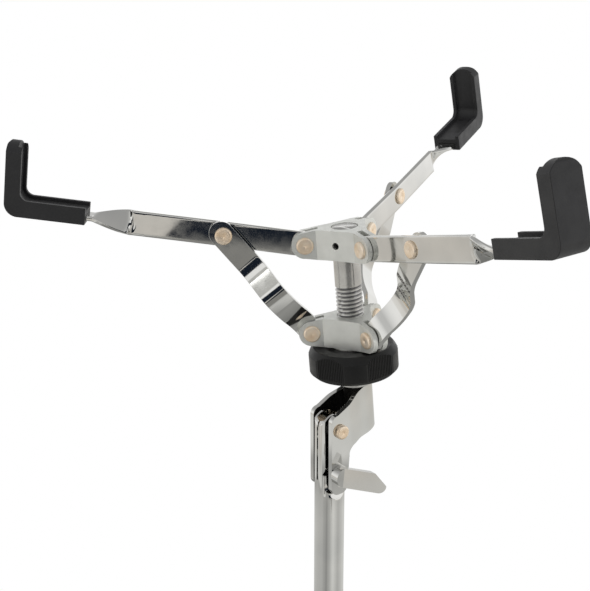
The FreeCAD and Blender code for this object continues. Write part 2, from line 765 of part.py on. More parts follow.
# Tilter: a strap bent round the rod's foot, drawn in the basket's frame
def tilter():
    body = new_body("tilter_bracket")
    low = "-pivot_drop"
    front = "(-pivot_offset - cheek_front)"
    foot_front = f"({front} - cheek_lean)"
    foot_back = f"({foot_front} + cheek_foot_width)"
    foot = "(-pivot_drop - cheek_drop)"
    back = "(-pivot_offset + cheek_back)"
    corners = [
        ("strap_half_width", f"{low} - bend_drop"), ("strap_half_width", f"{low} + strap_rise"),
        ("crown_start", f"{low} + strap_rise"), (f"{front} + cheek_corner", f"{low} + cheek_rise"),
        (front, f"{low} + cheek_rise - cheek_corner"), (foot_front, f"{foot} + cheek_corner"),
        (f"{foot_front} + cheek_corner", foot), (f"{foot_back} - cheek_corner", foot),
        (foot_back, f"{foot} + cheek_corner"), (back, f"{low} - throat_drop"),
        (f"{back} + throat_round", f"{low} - throat_drop + throat_round")]
    pad(outline(new_sketch(body, "XZ_Plane"), corners, {
        3: ("x", f"{front} + cheek_corner", 1), 5: ("x", f"{foot_front} + cheek_corner", 1),
        7: ("x", f"{foot_back} - cheek_corner", 1), 9: ("x", f"{back} + throat_round", -1)}),
        "2 * strap_half_width")
    far = f"{foot_front} - overrun"
    pocket(outline(new_sketch(body, "XY_Plane"), [
        (far, f"-{STRAP_INNER}"), ("0", f"-{STRAP_INNER}"), ("0", STRAP_INNER), (far, STRAP_INNER)],
        {1: ("x", "0", 1)}))
    past = "(strap_half_width + overrun)"
    pocket(outline(new_sketch(body, "XY_Plane"), [
        ("0", "strap_half_width"), ("0", "-strap_half_width"), ("0", "-" + past), (past, "-" + past),
        (past, past), ("0", past)], {0: ("x", "0", -1)}))
    pivot = ("-pivot_offset", "-pivot_drop")
    clamp = ("-pivot_offset - clamp_shift", "-pivot_drop - clamp_drop")
    pocket(circle(new_sketch(body, "XZ_Plane"), pivot, "pivot_radius + running_gap"))
    pocket(circle(new_sketch(body, "XZ_Plane"), clamp, "bolt_radius + running_gap"))
    keep("tilter_bracket", body, basket_frame)
    at_pivot = basket_frame * moved(pivot[0], "0", pivot[1])
    keep("tilter_pivot_rivet", rivet("tilter_pivot_rivet", "2 * strap_half_width", Placement(), kind="pivot"),
         at_pivot * moved(y="-strap_half_width") * ALONG_Y)
    washers = []
    for side in (0, 180):
        washer = ring("tilter_washer", "friction_washer_radius", "pivot_radius + running_gap",
                      "flat_half_thickness + face_gap", STRAP_INNER)
        washer.Placement = at_pivot * turned(X_AXIS, side) * ALONG_Y
        washers.append(washer)
    group("tilter_washers", washers)
    at_clamp = basket_frame * moved(clamp[0], "0", clamp[1])
    bolt = new_body("tilter_clamp_bolt")
    length = "2 * strap_half_width + lever_bolt_depth"
    revolve(outline(new_sketch(bolt, "XZ_Plane"), [
        ("0", f"-({length})"), ("bolt_radius", f"-({length})"), ("bolt_radius", "0"),
        ("bolt_head_radius", "0"), ("0", "bolt_head_height")], {3: ("x", "0", 1)}))
    keep("tilter_clamp_bolt", bolt, at_clamp * moved(y="strap_half_width") * ALONG_Y)
    keep("tilter_wing_nut", lever_nut("tilter_wing_nut"),
         at_clamp * moved(y="-(strap_half_width + face_gap)") * turned(Y_AXIS, number("wing_turn")))


# Rod: plain at the top, threaded below, its foot turned down to sit in the strap's bend
def rod():
    body = new_body("basket_rod")
    foot = f"({STRAP_INNER} - running_gap)"
    shoulder = "(strap_rise - pivot_drop)"
    top = "(hub_height / 2 - rod_recess)"
    revolve(outline(new_sketch(body, "XZ_Plane"), [
        ("0", "-rod_foot_drop"), (foot, "-rod_foot_drop"), (foot, shoulder), ("rod_radius", shoulder),
        ("rod_radius", f"{top} - rod_chamfer"), ("rod_radius - rod_chamfer", top), ("0", top)]))
    open_half = f"(thread_pitch * {1 - thread_land_share} / 2)"
    root_half = f"(thread_pitch * {thread_root_share} / 2)"
    past = "face_gap"
    groove = outline(new_sketch(body, "XZ_Plane"), [
        ("rod_radius - thread_depth", f"-thread_foot_drop - {root_half}"),
        (f"rod_radius + {past}", f"-thread_foot_drop - {open_half}"),
        (f"rod_radius + {past}", f"-thread_foot_drop + {open_half}"),
        ("rod_radius - thread_depth", f"-thread_foot_drop + {root_half}")])
    thread = body.newObject("PartDesign::SubtractiveHelix", "thread")
    thread.Profile = groove
    thread.ReferenceAxis = (groove, ["V_Axis"])
    thread.Mode = "pitch-height-angle"
    thread.setExpression("Pitch", formula("thread_pitch"))
    thread.setExpression("Height", formula("thread_foot_drop - thread_top_drop"))
    cuts.append(thread)
    keep("basket_rod", body, basket_frame)
    keep("rod_collar_nut", ring("rod_collar_nut", "ring_nut_radius", "rod_radius + running_gap",
                                shoulder, f"{shoulder} + ring_nut_height"), basket_frame)


# Upper hub, locked on the rod by its set screw
def upper_hub():
    body = forked_casting("upper_hub", "hub", "rod_radius + running_gap", SLOT_WIDTH, "arm_height / 2")
    pocket(circle(new_sketch(body, "YZ_Plane"), ("0", "0"), "set_screw_radius + running_gap"),
           "hub_web_reach + overrun", both=False)
    keep("upper_hub", body, hub_frame)
    screw("hub_set_screw", "rod_radius", "hub_web_reach", hub_frame)
    length = f"{SLOT_WIDTH} + 2 * hub_ear_thickness"
    start = moved("hub_pin_reach", f"-({length}) / 2") * ALONG_Y
    group("upper_hub_rivets", [
        rivet("upper_hub_rivet", length, sector_frame(hub_frame, index) * start)
        for index in range(ARM_COUNT)])


# Lower hub, which slides on the rod: half pins in its ears, and a washer that the hand nut pushes on
def lower_hub():
    body = forked_casting("lower_hub", "hub", "rod_radius + running_gap", SLOT_WIDTH, "strut_width / 2")
    boss = circle(new_sketch(body, "XY_Plane", "-hub_height / 2"), ("0", "0"), "hub_web_reach")
    pad(circle(boss, ("0", "0"), "rod_radius + running_gap"), "hub_boss_height", both=False, back=True)
    keep("lower_hub", body, lower_hub_frame)
    stubs = []
    for index in range(ARM_COUNT):
        for side in (0, 180):
            place = moved("hub_pin_reach") * turned(X_AXIS, side) * moved(y=f"{SLOT_WIDTH} / 2") * ALONG_Y
            stubs.append(rivet("lower_hub_rivet", "hub_ear_thickness",
                               sector_frame(lower_hub_frame, index) * place, stub=True))
    group("lower_hub_rivets", stubs)
    top = "-(hub_height / 2 + hub_boss_height + face_gap)"
    keep("thrust_washer", ring("thrust_washer", "washer_radius", "rod_radius + running_gap",
                               f"{top} - washer_thickness", top), lower_hub_frame)


# Hand nut: a lobed knob with a coned top, moulded round a metal insert
def hand_nut():
    frame = basket_frame * moved(z=f"-{NUT_TOP_DROP}") * turned(Z_AXIS, number("nut_turn"))
    body = new_body("adjusting_nut")
    bore = "insert_radius"
    revolve(outline(new_sketch(body, "XZ_Plane"), [
        (bore, "-nut_height"), ("nut_radius - nut_foot_chamfer", "-nut_height"),
        ("nut_radius", "nut_foot_chamfer - nut_height"), ("nut_radius", "nut_rim - nut_cone_height"),
        ("nut_top_radius", "nut_rim"), ("nut_recess_radius", "nut_rim"), ("nut_recess_radius", "0"),
        (bore, "0")]))
    flat = pocket(rectangle(new_sketch(body, "XY_Plane"), ("nut_flat_reach", "-nut_radius"),
                            ("nut_radius + overrun", "nut_radius")))
    around(body, [flat], NUT_LOBE_COUNT)
    keep("adjusting_nut", body, frame)
    keep("nut_insert", ring("nut_insert", bore, "rod_radius + running_gap", "-nut_height", "0"), frame)


# One arm: a strip on edge whose end is twisted flat and turned up inside the rubber grip.
# A washer on its rivet keeps the strut clear of the bend beside the hub when the basket closes.
def twist_section(body, share):
    """The strip's section part of the way along its twist, from on edge to flat."""
    angle = 90 * share
    high = f"((arm_height + (tongue_width - arm_height) * {share}) / 2)"
    thick = "(strip_thickness / 2)"
    side = f"(-arm_offset + (arm_offset - tongue_shift) * {share})"
    rise = f"(tongue_height * {share})"
    corners = []
    for across, up in (("-", "-"), ("", "-"), ("", ""), ("-", "")):
        corners.append((f"{side} + ({across}{thick} * cos({angle})) - ({up}{high} * sin({angle}))",
                        f"{rise} + ({across}{thick} * sin({angle})) + ({up}{high} * cos({angle}))"))
    return outline(new_sketch(body, "YZ_Plane", f"arm_straight_length + arm_twist_length * {share}"), corners)


def arm(index):
    name = str(index + 1)
    frame = sector_frame(hub_frame, index) * moved("hub_pin_reach") * turned(Y_AXIS, -number("arm_rise"))
    body = new_body("arm_" + name)
    bends = [("arm_bend_start", "0"), ("arm_bend_start + arm_bend_length", "-arm_offset")]
    bent_strip(body, "arm_height", "0", "arm_straight_length", bends, "arm_offset + strip_thickness", False)
    loft(body, [twist_section(body, step / TWIST_STEP_COUNT) for step in range(TWIST_STEP_COUNT + 1)])
    half = "strip_thickness / 2"
    upright = "(grip_end - grip_wall / 2)"
    pad(outline(new_sketch(body, "XZ_Plane", "tongue_shift"), [
        ("arm_straight_length + arm_twist_length", f"tongue_height - {half}"),
        (f"{upright} + {half}", f"tongue_height - {half}"),
        (f"{upright} + {half}", "grip_height - grip_drop - grip_wall"),
        (f"{upright} - {half}", "grip_height - grip_drop - grip_wall"),
        (f"{upright} - {half}", f"tongue_height + {half}"),
        ("arm_straight_length + arm_twist_length", f"tongue_height + {half}")]), "tongue_width")
    cross_holes(body, [("0", "0"), ("arm_rivet_reach", "0")])
    keep("arm_" + name, body, frame)
    grip(name, body, frame)
    start = moved("arm_rivet_reach", "-arm_offset - strip_thickness / 2") * ALONG_Y
    length = f"{STRUT_OFFSET} + arm_offset + strip_thickness + side_gap"
    keep("arm_rivet_" + name, rivet("arm_rivet_" + name, length, Placement()), frame * start)
    spacer = ring("strut_washer_" + name, "strut_washer_radius", "rivet_radius + running_gap",
                  "strip_thickness + face_gap", f"{STRUT_OFFSET} + arm_offset - side_gap")
    keep("strut_washer_" + name, spacer, frame * start)
    strut(name, frame)


# A rubber boot on the arm's end: an L with an arched top and a trough along its inside, moulded on the tongue
def grip(name, tongue, frame):
    body = new_body("grip_solid_" + name)
    floor = "-grip_drop"
    deck = "(grip_base - grip_drop)"
    top = "(grip_height - grip_drop)"
    inside = "(grip_end - grip_wall)"
    pad(outline(new_sketch(body, "XZ_Plane", "tongue_shift"), [
        ("grip_start", floor), ("grip_end - grip_corner", floor), ("grip_end", f"{floor} + grip_corner"),
        ("grip_end", f"{top} - grip_edge"), ("grip_end - grip_edge", top), (f"{inside} + grip_edge", top),
        (inside, f"{top} - grip_edge"), (inside, f"{deck} + grip_inner_round"),
        (f"{inside} - grip_inner_round", deck), ("grip_start", deck)],
        {1: ("x", "grip_end - grip_corner", 1), 3: ("x", "grip_end - grip_edge", 1),
         5: ("x", f"{inside} + grip_edge", 1), 7: ("x", f"{inside} - grip_inner_round", -1)}), "grip_width")
    half = "grip_width / 2"
    past = f"({half} + overrun)"
    shoulder = f"({top} - grip_arch_rise)"
    centre = f"({top} - (({half})^2 + grip_arch_rise^2) / (2 * grip_arch_rise))"
    pocket(outline(new_sketch(body, "YZ_Plane"), [
        (f"-tongue_shift - {half}", shoulder), (f"-tongue_shift + {half}", shoulder),
        (f"-tongue_shift + {past}", shoulder), (f"-tongue_shift + {past}", f"{top} + overrun"),
        (f"-tongue_shift - {past}", f"{top} + overrun"), (f"-tongue_shift - {past}", shoulder)],
        {0: ("y", centre, -1)}))
    bottom = f"({deck} - trough_depth)"
    back = f"({inside} + trough_depth)"
    bend = "(grip_inner_round + trough_depth)"
    trough = outline(new_sketch(body, "XZ_Plane", "tongue_shift"), [
        ("grip_start - overrun", bottom), (f"{back} - {bend}", bottom), (back, f"{bottom} + {bend}"),
        (back, f"{top} + overrun"), ("grip_start - overrun", f"{top} + overrun")],
        {1: ("x", f"{back} - {bend}", 1)})
    pocket(trough, "trough_width")
    cut_away("grip_" + name, body, tongue, frame)


# One strut: from the arm's rivet out past the upper hub's ear, and back into the lower hub's fork
def strut(name, arm_frame):
    body = new_body("strut_" + name)
    bends = [("strut_bend_start", STRUT_OFFSET), ("strut_peak_run", "strut_peak"),
             ("strut_knee_run", "strut_knee"), ("strut_foot_run", "0")]
    bent_strip(body, "strut_width", "-strut_end", STRUT_LENGTH, bends, "strut_peak + strip_thickness", True)
    cross_holes(body, [("0", "0"), (STRUT_LENGTH, "0")])
    slope = math.degrees(math.atan2(number(STRUT_DROP), number(STRUT_RUN)))
    keep("strut_" + name, body,
         arm_frame * moved("arm_rivet_reach") * turned(Y_AXIS, number("arm_rise") + 180 - slope))


base()
brace_collar()
leg_collar()
for leg_index in range(ARM_COUNT):
    leg(leg_index)
height_clamp()
upper_tube()
tilter()
rod()
upper_hub()
lower_hub()
hand_nut()
for arm_index in range(ARM_COUNT):
    arm(arm_index)
doc.recompute()

# Nothing is written unless every object is sound
for thing in doc.Objects:
    if "Invalid" in thing.State or "Error" in thing.State:
        raise RuntimeError(f"{thing.Label} failed: {thing.State}")
for cut in cuts:
    if cut.BaseFeature.Shape.Volume - cut.Shape.Volume < number("face_gap"):
        raise RuntimeError(f"a cut of {cut.getParentGeoFeatureGroup().Label} takes nothing away")
for label, thing in nodes.items():
    if thing.Shape.isNull() or not thing.Shape.isValid():
        raise RuntimeError(f"{label} has no sound shape")
os.makedirs("parts", exist_ok=True)
for label, thing in nodes.items():
    thing.Shape.exportStep(f"parts/{label}.step")
    box = thing.Shape.BoundBox
    height = f"z {box.ZMin:.1f} to {box.ZMax:.1f}"
    print(f"{label}: {len(thing.Shape.Solids)} solids, {thing.Shape.Volume:.0f} mm3, {height}")
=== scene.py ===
import json
import math

import bmesh
import bpy
from mathutils import Matrix, Quaternion, Vector

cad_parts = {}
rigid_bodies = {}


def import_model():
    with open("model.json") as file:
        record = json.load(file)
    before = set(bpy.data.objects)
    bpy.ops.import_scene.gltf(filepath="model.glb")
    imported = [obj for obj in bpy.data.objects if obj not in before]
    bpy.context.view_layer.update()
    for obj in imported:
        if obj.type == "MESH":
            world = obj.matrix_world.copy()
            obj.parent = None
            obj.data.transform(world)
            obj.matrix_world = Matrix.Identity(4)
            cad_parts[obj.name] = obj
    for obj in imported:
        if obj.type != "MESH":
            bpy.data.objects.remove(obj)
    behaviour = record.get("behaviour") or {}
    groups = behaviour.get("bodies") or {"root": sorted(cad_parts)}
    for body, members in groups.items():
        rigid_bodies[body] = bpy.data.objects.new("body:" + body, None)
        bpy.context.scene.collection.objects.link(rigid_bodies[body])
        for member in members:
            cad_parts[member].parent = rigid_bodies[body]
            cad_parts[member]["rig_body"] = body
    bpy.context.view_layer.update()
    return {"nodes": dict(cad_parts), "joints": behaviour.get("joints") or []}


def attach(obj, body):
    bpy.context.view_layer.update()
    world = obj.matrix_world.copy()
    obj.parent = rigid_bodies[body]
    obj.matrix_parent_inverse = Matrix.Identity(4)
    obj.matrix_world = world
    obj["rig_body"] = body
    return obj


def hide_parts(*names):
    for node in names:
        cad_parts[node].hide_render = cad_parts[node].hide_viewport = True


# A snare drum stand, put together from the floor up: base tube and tripod, telescopic tube, tilter, basket.
# Lengths are in metres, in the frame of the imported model.
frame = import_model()
nodes = frame["nodes"]

# Base tube: a drawn steel tube, polished and chrome plated, that carries the tripod and takes the upper tube.
# Plate over drawn tube mirrors its surroundings, with a slow waviness left by the rolling under it.
# The values here are where patches begin and end in a noise pattern, and how meshes are merged and bent.
patch_borders = (0.32, 0.68)
weld_distance = 2e-6
cut_distance = 1e-6
flat_angle = math.radians(0.6)
slightest_bend = math.radians(4)
strongest_bend = math.radians(50)
bend_steps = 8
even_weight = 100


def linear(code):
    """The linear colour of an sRGB hex code, by the curve of that standard."""
    channels = [int(code[place:place + 2], 16) / 255 for place in (1, 3, 5)]
    return tuple(c / 12.92 if c <= 0.04045 else ((c + 0.055) / 1.055) ** 2.4 for c in channels) + (1.0,)


def add(tree, kind, settings=None, inputs=None):
    """Adds one node. inputs gives, by socket, a value or the socket that feeds it."""
    made = tree.nodes.new(kind)
    for setting, value in (settings or {}).items():
        setattr(made, setting, value)
    for socket, value in (inputs or {}).items():
        if isinstance(value, bpy.types.NodeSocket):
            tree.links.new(value, made.inputs[socket])
        else:
            made.inputs[socket].default_value = value
    return made


def ramp_between(tree, factor, stops):
    """Adds a ramp through the given places, each with a hex colour or a plain value. Returns its output."""
    ramp = add(tree, "ShaderNodeValToRGB", None, {"Fac": factor})
    elements = ramp.color_ramp.elements
    while len(elements) < len(stops):
        elements.new(1.0)
    for element, (position, value) in zip(elements, stops):
        element.position = position
        element.color = linear(value) if isinstance(value, str) else (value, value, value, 1.0)
    return ramp.outputs["Color"]


def new_material(name):
    """A new material, its nodes, its shader, and the place of each point on the piece."""
    material = bpy.data.materials.new(name)
    material.use_nodes = True
    tree = material.node_tree
    shader = tree.nodes["Principled BSDF"]
    place = add(tree, "ShaderNodeTexCoord").outputs["Object"]
    return material, tree, shader, place


def drift(tree, place, target, size, low, high, detail=2.0):
    """Lets a shader's colour or gloss drift between two values over patches of one size."""
    patches = add(tree, "ShaderNodeTexNoise", None, {"Vector": place, "Scale": 1 / size, "Detail": detail})
    values = ramp_between(tree, patches.outputs["Fac"], list(zip(patch_borders, (low, high))))
    tree.links.new(values, target)


def relief(tree, place, shader, size, depth, detail=2.0):
    """Presses an uneven relief into the surface: bumps of one size and depth."""
    bumps = add(tree, "ShaderNodeTexNoise", None, {"Vector": place, "Scale": 1 / size, "Detail": detail})
    bump = add(tree, "ShaderNodeBump", None,
               {"Strength": 1.0, "Distance": depth, "Height": bumps.outputs["Fac"]})
    tree.links.new(bump.outputs["Normal"], shader.inputs["Normal"])


def bright_chrome_plate():
    """Chrome plate on polished steel: a mirror, faintly hazed in places, wavy over a finger's breadth."""
    material, tree, shader, place = new_material("bright_chrome_plate")
    shader.inputs["Metallic"].default_value = 1.0
    drift(tree, place, shader.inputs["Base Color"], size=0.025, low="#E3E2DE", high="#D6D6D3")
    drift(tree, place, shader.inputs["Roughness"], size=0.006, low=0.035, high=0.075, detail=5.0)
    relief(tree, place, shader, size=0.030, depth=0.00003, detail=0.0)
    return material


def in_scene(name, data):
    """A new object of the scene, with the given mesh, lamp or camera."""
    thing = bpy.data.objects.new(name, data)
    bpy.context.scene.collection.objects.link(thing)
    return thing


def even_faces(piece):
    """Keeps large faces evenly shaded up to their rounded edges."""
    even = piece.modifiers.new("even_faces", "WEIGHTED_NORMAL")
    even.weight = even_weight


def finished(name, material, edge=0.0, steps=2, sharp=30, bend=0.0, cuts=(), press=None):
    """A merged copy of a CAD node, which stands for it: bends rolled round and sharp edges broken.
    cuts are planes along which the mesh is divided, and press moves its points."""
    mesh = bpy.data.meshes.new(name + "_finished")
    form = bmesh.new()
    form.from_mesh(nodes[name].data)
    bmesh.ops.remove_doubles(form, verts=form.verts, dist=weld_distance)
    if edge:
        bmesh.ops.dissolve_limit(form, angle_limit=flat_angle, verts=form.verts, edges=form.edges)
    for point, normal in cuts:
        bmesh.ops.bisect_plane(form, geom=form.verts[:] + form.edges[:] + form.faces[:], dist=cut_distance,
                               plane_co=point, plane_no=normal)
    for vertex in form.verts if press else ():
        vertex.co = press(vertex.co)
    if bend:
        creases = [line for line in form.edges if line.is_manifold and line.calc_length() > 2 * bend
                   and slightest_bend < line.calc_face_angle() < strongest_bend]
        bmesh.ops.bevel(form, geom=creases, offset=bend, offset_type="OFFSET", segments=bend_steps,
                        profile=0.5, affect="EDGES", clamp_overlap=True)
    form.to_mesh(mesh)
    form.free()
    mesh.materials.clear()
    mesh.materials.append(material)
    mesh.shade_smooth()
    piece = in_scene(name + "_finished", mesh)
    if edge:
        broken = piece.modifiers.new("broken_edges", "BEVEL")
        broken.width = edge
        broken.segments = steps
        broken.limit_method = "ANGLE"
        broken.angle_limit = math.radians(sharp)
        even_faces(piece)
    else:
        mesh.set_sharp_from_angle(angle=math.radians(sharp))
    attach(piece, nodes[name]["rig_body"])
    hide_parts(name)
    return piece


chrome = bright_chrome_plate()
finished("base_tube", chrome)


# Base tip: a rubber cup pushed on the tube's lower end, moulded with a fine grain.
# Carbon-black rubber looks dark grey, with a broad dull sheen and no sharp highlight.
def moulded_rubber():
    """Black moulded rubber: satin, with a grain of about half a millimetre from the mould."""
    material, tree, shader, place = new_material("moulded_black_rubber")
    shader.inputs["IOR"].default_value = 1.52
    shader.inputs["Sheen Weight"].default_value = 0.06
    drift(tree, place, shader.inputs["Base Color"], size=0.012, low="#19191B", high="#141416", detail=4.0)
    drift(tree, place, shader.inputs["Roughness"], size=0.008, low=0.42, high=0.56, detail=4.0)
    relief(tree, place, shader, size=0.0007, depth=0.00005)
    return material


rubber = moulded_rubber()
tip_edge = 0.0012
finished("base_tip", rubber, edge=tip_edge, steps=3)


# Tripod collars: zinc castings with three forks, tumbled and lacquered a satin silver.
# The lacquer spreads the light, so the faces read as even pale grey with soft edges.
def satin_casting():
    """Lacquered die casting: broad soft gloss over a grain left by tumbling."""
    material, tree, shader, place = new_material("satin_lacquered_casting")
    shader.inputs["Metallic"].default_value = 0.75
    shader.inputs["Coat Weight"].default_value = 0.15
    shader.inputs["Coat Roughness"].default_value = 0.3
    drift(tree, place, shader.inputs["Base Color"], size=0.010, low="#E6E7E2", high="#DCDDD8", detail=4.0)
    drift(tree, place, shader.inputs["Roughness"], size=0.004, low=0.40, high=0.50, detail=4.0)
    relief(tree, place, shader, size=0.0009, depth=0.00002)
    return material


def cast_piece(name):
    """A casting, its edges rounded by the tumbling."""
    finished(name, casting, edge=casting_edge, steps=3, sharp=casting_sharp)


casting = satin_casting()
casting_edge = 0.0011
casting_sharp = 22
for name in ("brace_collar", "leg_collar"):
    cast_piece(name)


# Fasteners of the tripod: flat-headed rivets, dimpled by the riveting tool, nickel plated, and a black set
# screw. Thin nickel over brass looks warm, between champagne and pale copper, and is bright on the rim.
def warm_nickel():
    """Nickel flash on brass rivets: bright and slightly coppery, with faint handling haze."""
    material, tree, shader, place = new_material("warm_nickel_plate")
    shader.inputs["Metallic"].default_value = 0.72
    drift(tree, place, shader.inputs["Base Color"], size=0.006, low="#FFF0DC", high="#F2D8B8")
    drift(tree, place, shader.inputs["Roughness"], size=0.006, low=0.30, high=0.40)
    return material


def black_oxide():
    """Black oxide on steel screws: nearly black, oily gloss."""
    material, tree, shader, place = new_material("black_oxide_steel")
    shader.inputs["Metallic"].default_value = 0.6
    drift(tree, place, shader.inputs["Base Color"], size=0.002, low="#1B1B1B", high="#121212")
    drift(tree, place, shader.inputs["Roughness"], size=0.002, low=0.35, high=0.5)
    return material


def dress(name, material):
    """Gives a CAD node that hardly shows, and stays as it is, its finish."""
    nodes[name].data.materials.clear()
    nodes[name].data.materials.append(material)


nickel = warm_nickel()
oxide = black_oxide()
for name in ("brace_collar_rivets", "leg_collar_pins", "leg_rivet_1", "leg_rivet_2", "leg_rivet_3"):
    finished(name, nickel)
dress("brace_collar_screw", oxide)

# Legs and braces: chromed flat steel strips with tumbled edges, riveted into the collars' forks.
# The same plate as the tube, on flat stock, so each face mirrors one piece of the room.
strip_edge = 0.0008
for number in (1, 2, 3):
    finished(f"leg_{number}", chrome, edge=strip_edge, steps=3)
    finished(f"brace_{number}", chrome, edge=strip_edge, steps=3)

# Feet: solid rubber shoes pressed on the legs' ends, rounded at the toe.
# The same moulded rubber as the base tip.
foot_edge = 0.0018
for number in (1, 2, 3):
    finished(f"foot_{number}", rubber, edge=foot_edge, steps=3)


# Height clamp: a split casting with a plastic bush, drawn together by a wing bolt and a square nut.
# The wing, like the one of the leg collar, is cast in one piece and chromed; the bush is injection moulded.
def moulded_plastic():
    """Injection-moulded black nylon: dull, with the fine grain of a spark-eroded mould."""
    material, tree, shader, place = new_material("moulded_black_nylon")
    shader.inputs["IOR"].default_value = 1.53
    shader.inputs["Specular IOR Level"].default_value = 0.32
    drift(tree, place, shader.inputs["Base Color"], size=0.009, low="#161615", high="#101010", detail=4.0)
    drift(tree, place, shader.inputs["Roughness"], size=0.005, low=0.36, high=0.50, detail=4.0)
    relief(tree, place, shader, size=0.0006, depth=0.00003)
    return material


def turned_steel(tilt):
    """Zinc-plated turned steel: satin, with faint rings round the rod's axis, drawn 5 mm apart to show."""
    material, tree, shader, place = new_material("turned_zinc_steel")
    shader.inputs["Metallic"].default_value = 1.0
    along = add(tree, "ShaderNodeMapping", None, {"Vector": place, "Rotation": (0.0, tilt, 0.0)})
    ring_scale = math.tau / (wave_rate * turning_pitch)
    rings = add(tree, "ShaderNodeTexWave", {"wave_type": "BANDS", "bands_direction": "Z"},
                {"Vector": along.outputs["Vector"], "Scale": ring_scale, "Distortion": 0.6})
    drift(tree, place, shader.inputs["Base Color"], size=0.010, low="#D2D1CD", high="#C0BFBC")
    drift(tree, place, shader.inputs["Roughness"], size=0.003, low=0.16, high=0.27, detail=5.0)
    bump = add(tree, "ShaderNodeBump", None,
               {"Strength": 1.0, "Distance": turning_depth, "Height": rings.outputs["Fac"]})
    tree.links.new(bump.outputs["Normal"], shader.inputs["Normal"])
    return material


# The wave texture runs through this many radians per unit of its scale.
wave_rate = 20
turning_pitch = 0.0050265
turning_depth = 0.000004
joints = {joint["name"]: joint for joint in frame["joints"]}
rod_axis = Vector(joints["basket_close"]["axis"])
rod_lean = math.atan2(-rod_axis.x, rod_axis.z)
nylon = moulded_plastic()
steel = turned_steel(rod_lean)
bush_edge = 0.0004
wing_edge = 0.0010
clamp_nut_edge = 0.0004
cast_piece("height_collar")
finished("height_bush", nylon, edge=bush_edge)
finished("height_wing_bolt", chrome, edge=wing_edge, steps=3)
finished("leg_wing_bolt", chrome, edge=wing_edge, steps=3)
finished("height_clamp_nut", steel, edge=clamp_nut_edge)

# Upper tube: chromed tube whose top end is pressed flat and slit, so that the tilter can grip it.
# A nylon bush on its lower end guides it in the base tube. Rings in the mesh keep the shading of the
# pressed end off the plain tube below it.
pressed_end = 0.4295
ring_spacing = 0.0015
ring_count = 6
tube_rings = [((0, 0, pressed_end - ring_spacing * step), (0, 0, 1)) for step in range(ring_count)]
finished("upper_tube", chrome, sharp=24, cuts=tube_rings)
dress("guide_bush", nylon)


# Tilter: a steel strap bent round the rod's foot and pressed in towards it, its cheeks gripping the tube's
# end. A rivet is the pivot, nylon washers give the friction, and a lever nut on a bolt clamps the tilt.
def painted_gap_shade():
    """Painted shade for faces inside a narrow gap: dark grey, dull steel in place of the bright plate, where
    the gap lies in shade.
    """
    material, tree, shader, place = new_material("painted_shade_in_gaps")
    shader.inputs["Metallic"].default_value = 1.0
    drift(tree, place, shader.inputs["Base Color"], size=0.006, low="#3C3B39", high="#2A2928", detail=4.0)
    drift(tree, place, shader.inputs["Roughness"], size=0.003, low=0.42, high=0.58, detail=4.0)
    return material


def shade_inside(piece, material, is_inside):
    """Gives the faces whose middle lies inside a gap a second material, the painted shade."""
    piece.data.materials.append(material)
    for face in piece.data.polygons:
        if is_inside(face.center):
            face.material_index = 1


def pressed_by(reach):
    """How far each side of the strap is pressed in at a distance along it from the rod's axis."""
    share = min(max((reach - press_start) / (press_end - press_start), 0), 1)
    return press_depth * share * share * (3 - 2 * share)


def pressed_in(point):
    """Where a point of the strap lies after the pressing: the sides are shifted, the bend is narrowed."""
    local = in_basket @ point
    if local.x < 0:
        local.y -= math.copysign(pressed_by(local.x), local.y)
    else:
        local.y *= 1 - press_depth / math.hypot(local.x, local.y)
    return rod_line @ local


def inside_strap(point):
    """Whether a point of the pressed strap lies on the inner side of its wall."""
    local = in_basket @ point
    if local.x < 0:
        return abs(local.y) + pressed_by(local.x) < strap_inner
    inner = math.sqrt(max(strap_inner ** 2 - local.x ** 2, 0))
    return abs(local.y) < inner * (1 - press_depth / strap_inner)


basket_place = Vector(joints["nut_turn"]["pos_m"])
lean_turn = Matrix.Rotation(-rod_lean, 4, "Y")
rod_line = Matrix.Translation(basket_place) @ lean_turn
in_basket = rod_line.inverted()
strap_inner = 0.0082
strap_edge = 0.0014
press_start = -0.0150
press_end = -0.0025
press_depth = 0.0036
press_rings = 8
bolt_edge = 0.0005
lever_edge = 0.0016
strap_cuts = []
for step in range(press_rings + 1):
    reach = press_start + (press_end - press_start) * step / press_rings
    strap_cuts.append((rod_line @ Vector((reach, 0, 0)), rod_line.col[0].xyz))
gap_shade = painted_gap_shade()
bracket = finished("tilter_bracket", chrome, edge=strap_edge, steps=4, sharp=24, cuts=strap_cuts,
                   press=pressed_in)
# The strap's inner faces are given painted shade: dark grey, dull steel where the gap between its cheeks is
# in shade.
shade_inside(bracket, gap_shade, inside_strap)
finished("tilter_pivot_rivet", nickel)
finished("tilter_washers", nylon)
finished("tilter_clamp_bolt", chrome, edge=bolt_edge)
finished("tilter_wing_nut", chrome, edge=lever_edge, steps=4)


